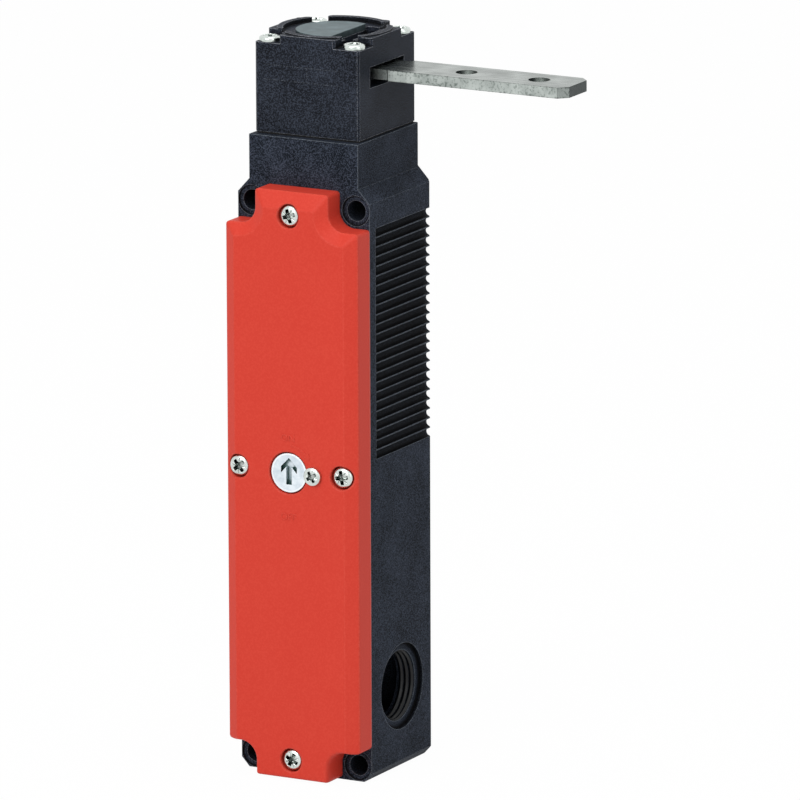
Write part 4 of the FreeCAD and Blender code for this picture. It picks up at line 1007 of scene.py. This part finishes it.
        holes += [self.turned(*RELEASE, disc), self.turned(*SEAL_SCREW, pilot)]
        steps = [("DIFFERENCE", [self.prism(np.array(rings))]) for rings in (cavity, seat)]
        steps += [("UNION", [self.turned(x, height, [(radius, foot),
                                                     (radius, inside + self.spare / 2)])])
                  for x, height, radius, foot in bosses]
        steps.append(("DIFFERENCE", holes))
        maker = self.solid(name + "_maker", [self.body()])
        cutters = []
        for operation, parts in steps:
            cutter = self.solid(name + "_cutter", parts)
            cut = maker.modifiers.new(operation, "BOOLEAN")
            cut.operation, cut.object, cut.solver = operation, cutter, "EXACT"
            cutters.append(cutter)
        bpy.context.view_layer.update()
        graph = bpy.context.evaluated_depsgraph_get()
        mesh = bpy.data.meshes.new_from_object(maker.evaluated_get(graph))
        mesh.name = name
        for helper in [maker.data, *[cutter.data for cutter in cutters]]:
            bpy.data.meshes.remove(helper)
        return mesh


# ------------------------------------------------------------------------ sub-assemblies

@dataclass
class CaseGroup:
    """Housing and cover with their screws, entry threads and the marks of the release."""

    entry_height: float = 21.9
    entry_depth: float = 16.1
    housing_half: float = 19.0
    thread_start: float = 1.3
    mark_height: float = 0.14
    letter_size: float = 2.6
    letter_trim: float = 0.02
    on_height: float = 90.2
    off_height: float = 69.6
    arc_radius: float = 7.4
    arc_span: tuple[float, float] = (84.0, 34.0)
    arc_half: float = 0.22
    arrow_half: float = 0.85
    arrow_tip: float = 0.02
    arrow_rows: int = 9

    def dress(self, nodes: dict[str, bpy.types.Object]) -> None:
        """Finish the mouldings and the gasket."""
        dress(nodes, {"housing": HOUSING_PLASTIC, "cover": COVER_PLASTIC,
                      "cover_gasket": RUBBER})

    def cover(self) -> None:
        """Cover with the edges of the moulding."""
        add_piece("cover_moulding", CoverShell().mesh("cover_moulding"), COVER_PLASTIC,
                  "housing", ["cover"])

    def screws(self) -> None:
        """Four cover screws, down in their counterbores."""
        screw = CrossScrew(head_radius=2.8, head_height=2.45, shank_radius=1.5,
                           shank_length=12.1)
        spots = [ScrewPlace(x, SCREW_SEAT, height, spin)
                 for (x, height), spin in zip(COVER_SCREWS, (0.3, 1.1, 0.7, 0.15))]
        add_piece("cover_cross_screws", screw.build("cover_cross_screws", spots, Axis.FORWARD),
                  ZINC, "housing", ["cover_screws"])

    def threads(self) -> None:
        """Threads of the three cable entries."""
        thread = EntryThread()
        side = self.housing_half
        sleeves = {
            "entry_thread_right": (6.2, row(side, self.entry_depth, self.entry_height),
                                   Axis.RIGHT),
            "entry_thread_left": (5.4, row(-side, self.entry_depth, self.entry_height),
                                  Axis.LEFT),
            "entry_thread_foot": (10.6, row(0.0, self.entry_depth, 0.0), Axis.DOWNWARD),
        }
        for name, (end, mouth, axis) in sleeves.items():
            mesh = make_mesh(name, *thread.skin(self.thread_start, end, mouth, axis))
            add_piece(name, mesh, THREAD_SHADED_PLASTIC, "housing")

    def marks(self) -> None:
        """Raised ON and OFF beside the release, and the arc that joins them."""
        self.word("release_mark_on", "ON", self.on_height)
        self.word("release_mark_off", "OFF", self.off_height)
        angle = np.radians(np.linspace(*self.arc_span, 40))
        half = np.full_like(angle, self.arc_half)
        half[-self.arrow_rows:] = np.linspace(self.arrow_half, self.arrow_tip,
                                              self.arrow_rows)
        self.band("release_arc", self.arc_radius, angle, half)

    def word(self, name: str, text: str, height: float) -> None:
        """Raised letters on the cover, made a mesh before they are put in place."""
        curve = bpy.data.curves.new(name, "FONT")
        curve.body, curve.size = text, self.letter_size * MM
        curve.extrude, curve.offset = self.mark_height * MM, -self.letter_trim * MM
        curve.align_x, curve.align_y = "CENTER", "CENTER"
        maker = bpy.data.objects.new(name + "_maker", curve)
        bpy.context.scene.collection.objects.link(maker)
        bpy.context.view_layer.update()
        mesh = bpy.data.meshes.new_from_object(maker)
        bpy.data.curves.remove(curve)
        points = np.empty(len(mesh.vertices) * 3, np.float32)
        mesh.vertices.foreach_get("co", points)
        placed = (Axis.FORWARD.turn(points.reshape(-1, 3))
                  + row(RELEASE[0], COVER_FLAT, height))
        mesh.vertices.foreach_set("co", placed.astype(np.float32).ravel())
        mesh.update()
        add_piece(name, mesh, MARK_PLASTIC, "housing")

    def band(self, name: str, radius: float, angle: np.ndarray, half: np.ndarray) -> None:
        """Raised arc whose half width changes along it.

        Each station is a rectangle of points: inner and outer edge, under and above the
        cover's face.
        """
        low, high = -self.mark_height, self.mark_height
        corners = np.array([[-1.0, high], [1.0, high], [1.0, low], [-1.0, low]])
        reach = radius + corners[None, :, 0] * half[:, None]
        grid = np.stack([reach * np.cos(angle)[:, None], reach * np.sin(angle)[:, None],
                         np.broadcast_to(corners[None, :, 1], reach.shape)], axis=-1)
        points, faces = closed_skin(grid, grid[0].mean(0), grid[-1].mean(0))
        placed = Axis.FORWARD.turn(points) * MM + row(RELEASE[0], COVER_FLAT, RELEASE[1])
        add_piece(name, make_mesh(name, placed, faces), MARK_PLASTIC, "housing")


@dataclass
class HeadGroup:
    """Actuating head: casing, plate insert and the four screws in its corners."""

    ledge_height: float = 189.8
    screw_offset: float = 12.1
    centre_depth: float = 15.5
    half: float = 15.0
    # Left, right, low and high end of each witness line.
    witness_lines: tuple[tuple[float, float, float, float], ...] = (
        (-12.4, 9.4, 184.1, 184.22), (-12.4, 9.4, 180.3, 180.42), (-0.06, 0.06, 180.3, 184.2))
    line_sunk: float = 0.1
    line_proud: float = 0.03

    def dress(self, nodes: dict[str, bpy.types.Object]) -> None:
        """Finish the casing, its plate and its gasket."""
        dress(nodes, {"head_casing": HEAD_PLASTIC, "head_insert": INSERT_METAL,
                      "head_gasket": RUBBER})

    def screws(self) -> None:
        """Four head screws, standing on the corner ledges."""
        screw = CrossScrew(head_radius=2.8, head_height=1.45, shank_radius=1.5,
                           shank_length=33.0, pitch=1.0, columns=72)
        spots = [ScrewPlace(across, self.centre_depth + out, self.ledge_height, spin)
                 for across, out, spin in ((-self.screw_offset, -self.screw_offset, 0.2),
                                           (self.screw_offset, -self.screw_offset, 0.9),
                                           (-self.screw_offset, self.screw_offset, 0.5),
                                           (self.screw_offset, self.screw_offset, 1.2))]
        add_piece("head_cross_screws", screw.build("head_cross_screws", spots, Axis.UPWARD),
                  ZINC, "housing", ["head_screws"])

    def lines(self) -> None:
        """Fine witness lines of the mould on the head's front."""
        front = self.centre_depth + self.half
        bars = []
        for left, right, low, high in self.witness_lines:
            frame = np.array([[left, high], [right, high], [right, low], [left, low]])
            rings = [np.insert(frame, 1, depth, axis=1)
                     for depth in (front - self.line_sunk, front + self.line_proud)]
            bars.append(CoverShell.prism(np.array(rings)))
        points, faces = joined(bars)
        add_piece("head_witness_lines", make_mesh("head_witness_lines", row(*points.T), faces),
                  WITNESS_PLASTIC, "housing")


@dataclass
class SwitchingGroup:
    """Tongue, cam wheel, plunger and the contacts that they work."""

    wheel_x: float = -1.0
    plunger_depth: float = 21.2
    spring_seat: float = 104.8
    plunger_foot: float = 113.0
    spring_left: float = 0.64

    def dress(self, nodes: dict[str, bpy.types.Object]) -> None:
        """Finish the moving metal, the moulded block and the brass."""
        dress(nodes, {"tongue": TONGUE_STEEL, "cam_wheel": SINTERED, "cam_axle": GROUND_STEEL,
                      "plunger": ACETAL, "contact_block": IVORY,
                      "contact_block_screws": ZINC, "contact_terminals": BRASS,
                      "terminal_screws": ZINC, "tongue_contact_bridges": BRASS})

    def spring(self) -> None:
        """Spring that lifts the plunger; its mesh is built at one length."""
        coil = HelicalSpring(self.wheel_x, self.plunger_depth, self.spring_seat,
                             self.plunger_foot, radius=1.7, wire=0.45, turns=6.0)
        piece = add_piece("plunger_coil_spring", coil.mesh("plunger_coil_spring"), SPRING_WIRE,
                          "housing", ["plunger_spring"])
        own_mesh(piece)


@dataclass
class LockGroup:
    """Lock bolt with its armature, solenoid and monitoring contact."""

    axis_x: float = -1.0
    axis_depth: float = 14.5
    armature_top: float = 51.0
    core_seat: float = 60.0
    spring_left: float = 0.44

    def dress(self, nodes: dict[str, bpy.types.Object]) -> None:
        """Finish the bolt, the iron and the coil."""
        dress(nodes, {"lock_bolt": BOLT_STEEL, "lock_contact_bridge": BRASS,
                      "armature": SOFT_IRON, "fixed_core": SOFT_IRON,
                      "solenoid_yoke": SOFT_IRON, "solenoid_bobbin": BOBBIN_PLASTIC,
                      "solenoid_coil": COPPER, "solenoid_screws": ZINC})

    def spring(self) -> None:
        """Spring between the armature and the fixed core; its mesh is built at one length."""
        coil = HelicalSpring(self.axis_x, self.axis_depth, self.armature_top, self.core_seat,
                             radius=2.55, turns=5.5)
        piece = add_piece("armature_coil_spring", coil.mesh("armature_coil_spring"),
                          SPRING_WIRE, "housing", ["armature_spring"])
        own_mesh(piece)


@dataclass
class ReleaseGroup:
    """Auxiliary release disc with its sealing screw."""

    def dress(self, nodes: dict[str, bpy.types.Object]) -> None:
        """Finish the disc, its seal and its clip."""
        dress(nodes, {"release_disc": RELEASE_METAL, "release_seal": RUBBER,
                      "release_clip": BOLT_STEEL})

    def screw(self) -> None:
        """Sealing screw whose head stands over the edge of the disc."""
        screw = CrossScrew(head_radius=2.4, head_height=1.4, shank_radius=1.25,
                           shank_length=4.7)
        spots = [ScrewPlace(SEAL_SCREW[0], COVER_FLAT, SEAL_SCREW[1], spin=0.55)]
        add_piece("sealing_cross_screw", screw.build("sealing_cross_screw", spots,
                                                     Axis.FORWARD),
                  ZINC, "housing", ["seal_screw"])


# -------------------------------------------------------------------------------- studio

@dataclass(frozen=True)
class Lamp:
    """Square soft lamp: its place and size in metres, its power in watts."""

    name: str
    place: tuple[float, float, float]
    size: float
    power: float

    def add(self, target: np.ndarray) -> None:
        """Hang the lamp and aim it at a point."""
        data = bpy.data.lights.new(self.name, "AREA")
        data.size, data.energy = self.size, self.power
        lamp = bpy.data.objects.new(self.name, data)
        bpy.context.scene.collection.objects.link(lamp)
        lamp.location = self.place
        away = lamp.location - type(lamp.location)(target)
        lamp.rotation_euler = away.to_track_quat("Z", "Y").to_euler()


@dataclass
class Studio:
    """Camera, lamps, world and floor."""

    camera_place: tuple[float, float, float] = (1.3166, -2.4190, 0.6571)
    camera_turn: float = 28.329
    camera_tilt: float = 13.121
    camera_roll: float = 0.199
    lens: float = 495.0
    sensor: float = 36.0
    aim: tuple[float, float, float] = (0.0, -0.02, 0.02)
    lamp_set: tuple[Lamp, ...] = (Lamp("key_lamp", (-0.15, -1.35, 0.75), 0.7, 11.5),
                                  Lamp("side_lamp", (1.4, -0.5, 0.5), 0.9, 2.7),
                                  Lamp("top_lamp", (0.1, -0.1, 1.3), 0.8, 7.0))
    ambient: float = 0.5
    floor_glow: float = 0.98
    floor_reach: float = 12.0
    floor_drop: float = 0.1

    def camera(self) -> None:
        """Long lens from the right, looking a little down."""
        data = bpy.data.cameras.new("studio_camera")
        data.lens, data.sensor_width = self.lens, self.sensor
        camera = bpy.data.objects.new("studio_camera", data)
        bpy.context.scene.collection.objects.link(camera)
        camera.location = self.camera_place
        camera.rotation_euler = Euler((math.radians(90.0 - self.camera_tilt),
                                       math.radians(self.camera_roll),
                                       math.radians(self.camera_turn)), "XYZ")
        bpy.context.scene.camera = camera

    def lamps(self) -> None:
        """Key from the front left, fill from the right and a soft top lamp."""
        for lamp in self.lamp_set:
            lamp.add(np.array(self.aim))

    def world(self) -> None:
        """Even grey light, seen as white by the camera and in reflections."""
        world = bpy.data.worlds.new("studio_world")
        world.use_nodes = True
        bpy.context.scene.world = world
        bench = Bench(world.node_tree)
        seen = self.seen(bench)
        light, white = [bench.node("ShaderNodeBackground", None,
                                   {"Color": (1.0, 1.0, 1.0, 1.0), "Strength": strength})[0]
                        for strength in (self.ambient, 1.0)]
        mixed = bench.node("ShaderNodeMixShader", None, {0: seen, 1: light, 2: white})
        bench.node("ShaderNodeOutputWorld", None, {"Surface": mixed[0]})

    @staticmethod
    def seen(bench: Bench) -> Shade:
        """Mask of rays that come from the camera, a gloss or a glass."""
        path = bench.node("ShaderNodeLightPath")
        rays = path["Is Camera Ray"] + path["Is Glossy Ray"] + path["Is Transmission Ray"]
        return rays.over(0.0, 1.0)

    def floor(self, low: float) -> None:
        """White floor just under the part's foot that keeps a faint shadow.

        Args:
            low: Height of the part's foot in metres.
        """
        corners = np.array([[-1, -1, 0], [1, -1, 0], [1, 1, 0], [-1, 1, 0]]) * self.floor_reach
        mesh = make_mesh("studio_floor",
                         corners + np.array([0.0, 0.0, low - self.floor_drop * MM]),
                         [np.array([[0, 1, 2, 3]])])
        material = bpy.data.materials.new("floor_white")
        material.use_nodes = True
        bench = Bench(material.node_tree)
        matt = bench.node("ShaderNodeBsdfDiffuse", None, {"Color": (0.8, 0.8, 0.8, 1.0)})
        glow = bench.node("ShaderNodeEmission", None, {"Strength": 1.0})
        mixed = bench.node("ShaderNodeMixShader", None,
                           {0: self.seen(bench) * self.floor_glow, 1: matt[0], 2: glow[0]})
        bench.node("ShaderNodeOutputMaterial", None, {"Surface": mixed[0]})
        mesh.materials.append(material)
        floor = bpy.data.objects.new("studio_floor", mesh)
        bpy.context.scene.collection.objects.link(floor)
        floor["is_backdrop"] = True


def box_lists() -> list[list[float]]:
    """Lowest and highest corner of everything shown, as plain lists."""
    return [[float(value) for value in corner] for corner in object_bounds()]


def main() -> None:
    """Load the frame, dress it, add the pieces, and set up the studio."""
    logging.basicConfig(level=logging.INFO, format="%(message)s")
    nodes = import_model()["nodes"]
    cad_box = box_lists()
    bpy.context.scene.view_settings.view_transform = "Standard"

    case, head, switching = CaseGroup(), HeadGroup(), SwitchingGroup()
    lock, release, studio = LockGroup(), ReleaseGroup(), Studio()
    for group in (case, head, switching, lock, release):
        group.dress(nodes)
    case.cover()
    case.screws()
    case.threads()
    case.marks()
    head.screws()
    head.lines()
    switching.spring()
    lock.spring()
    release.screw()

    studio.camera()
    studio.lamps()
    studio.world()
    studio.floor(cad_box[0][2])


if __name__ == "__main__":
    main()
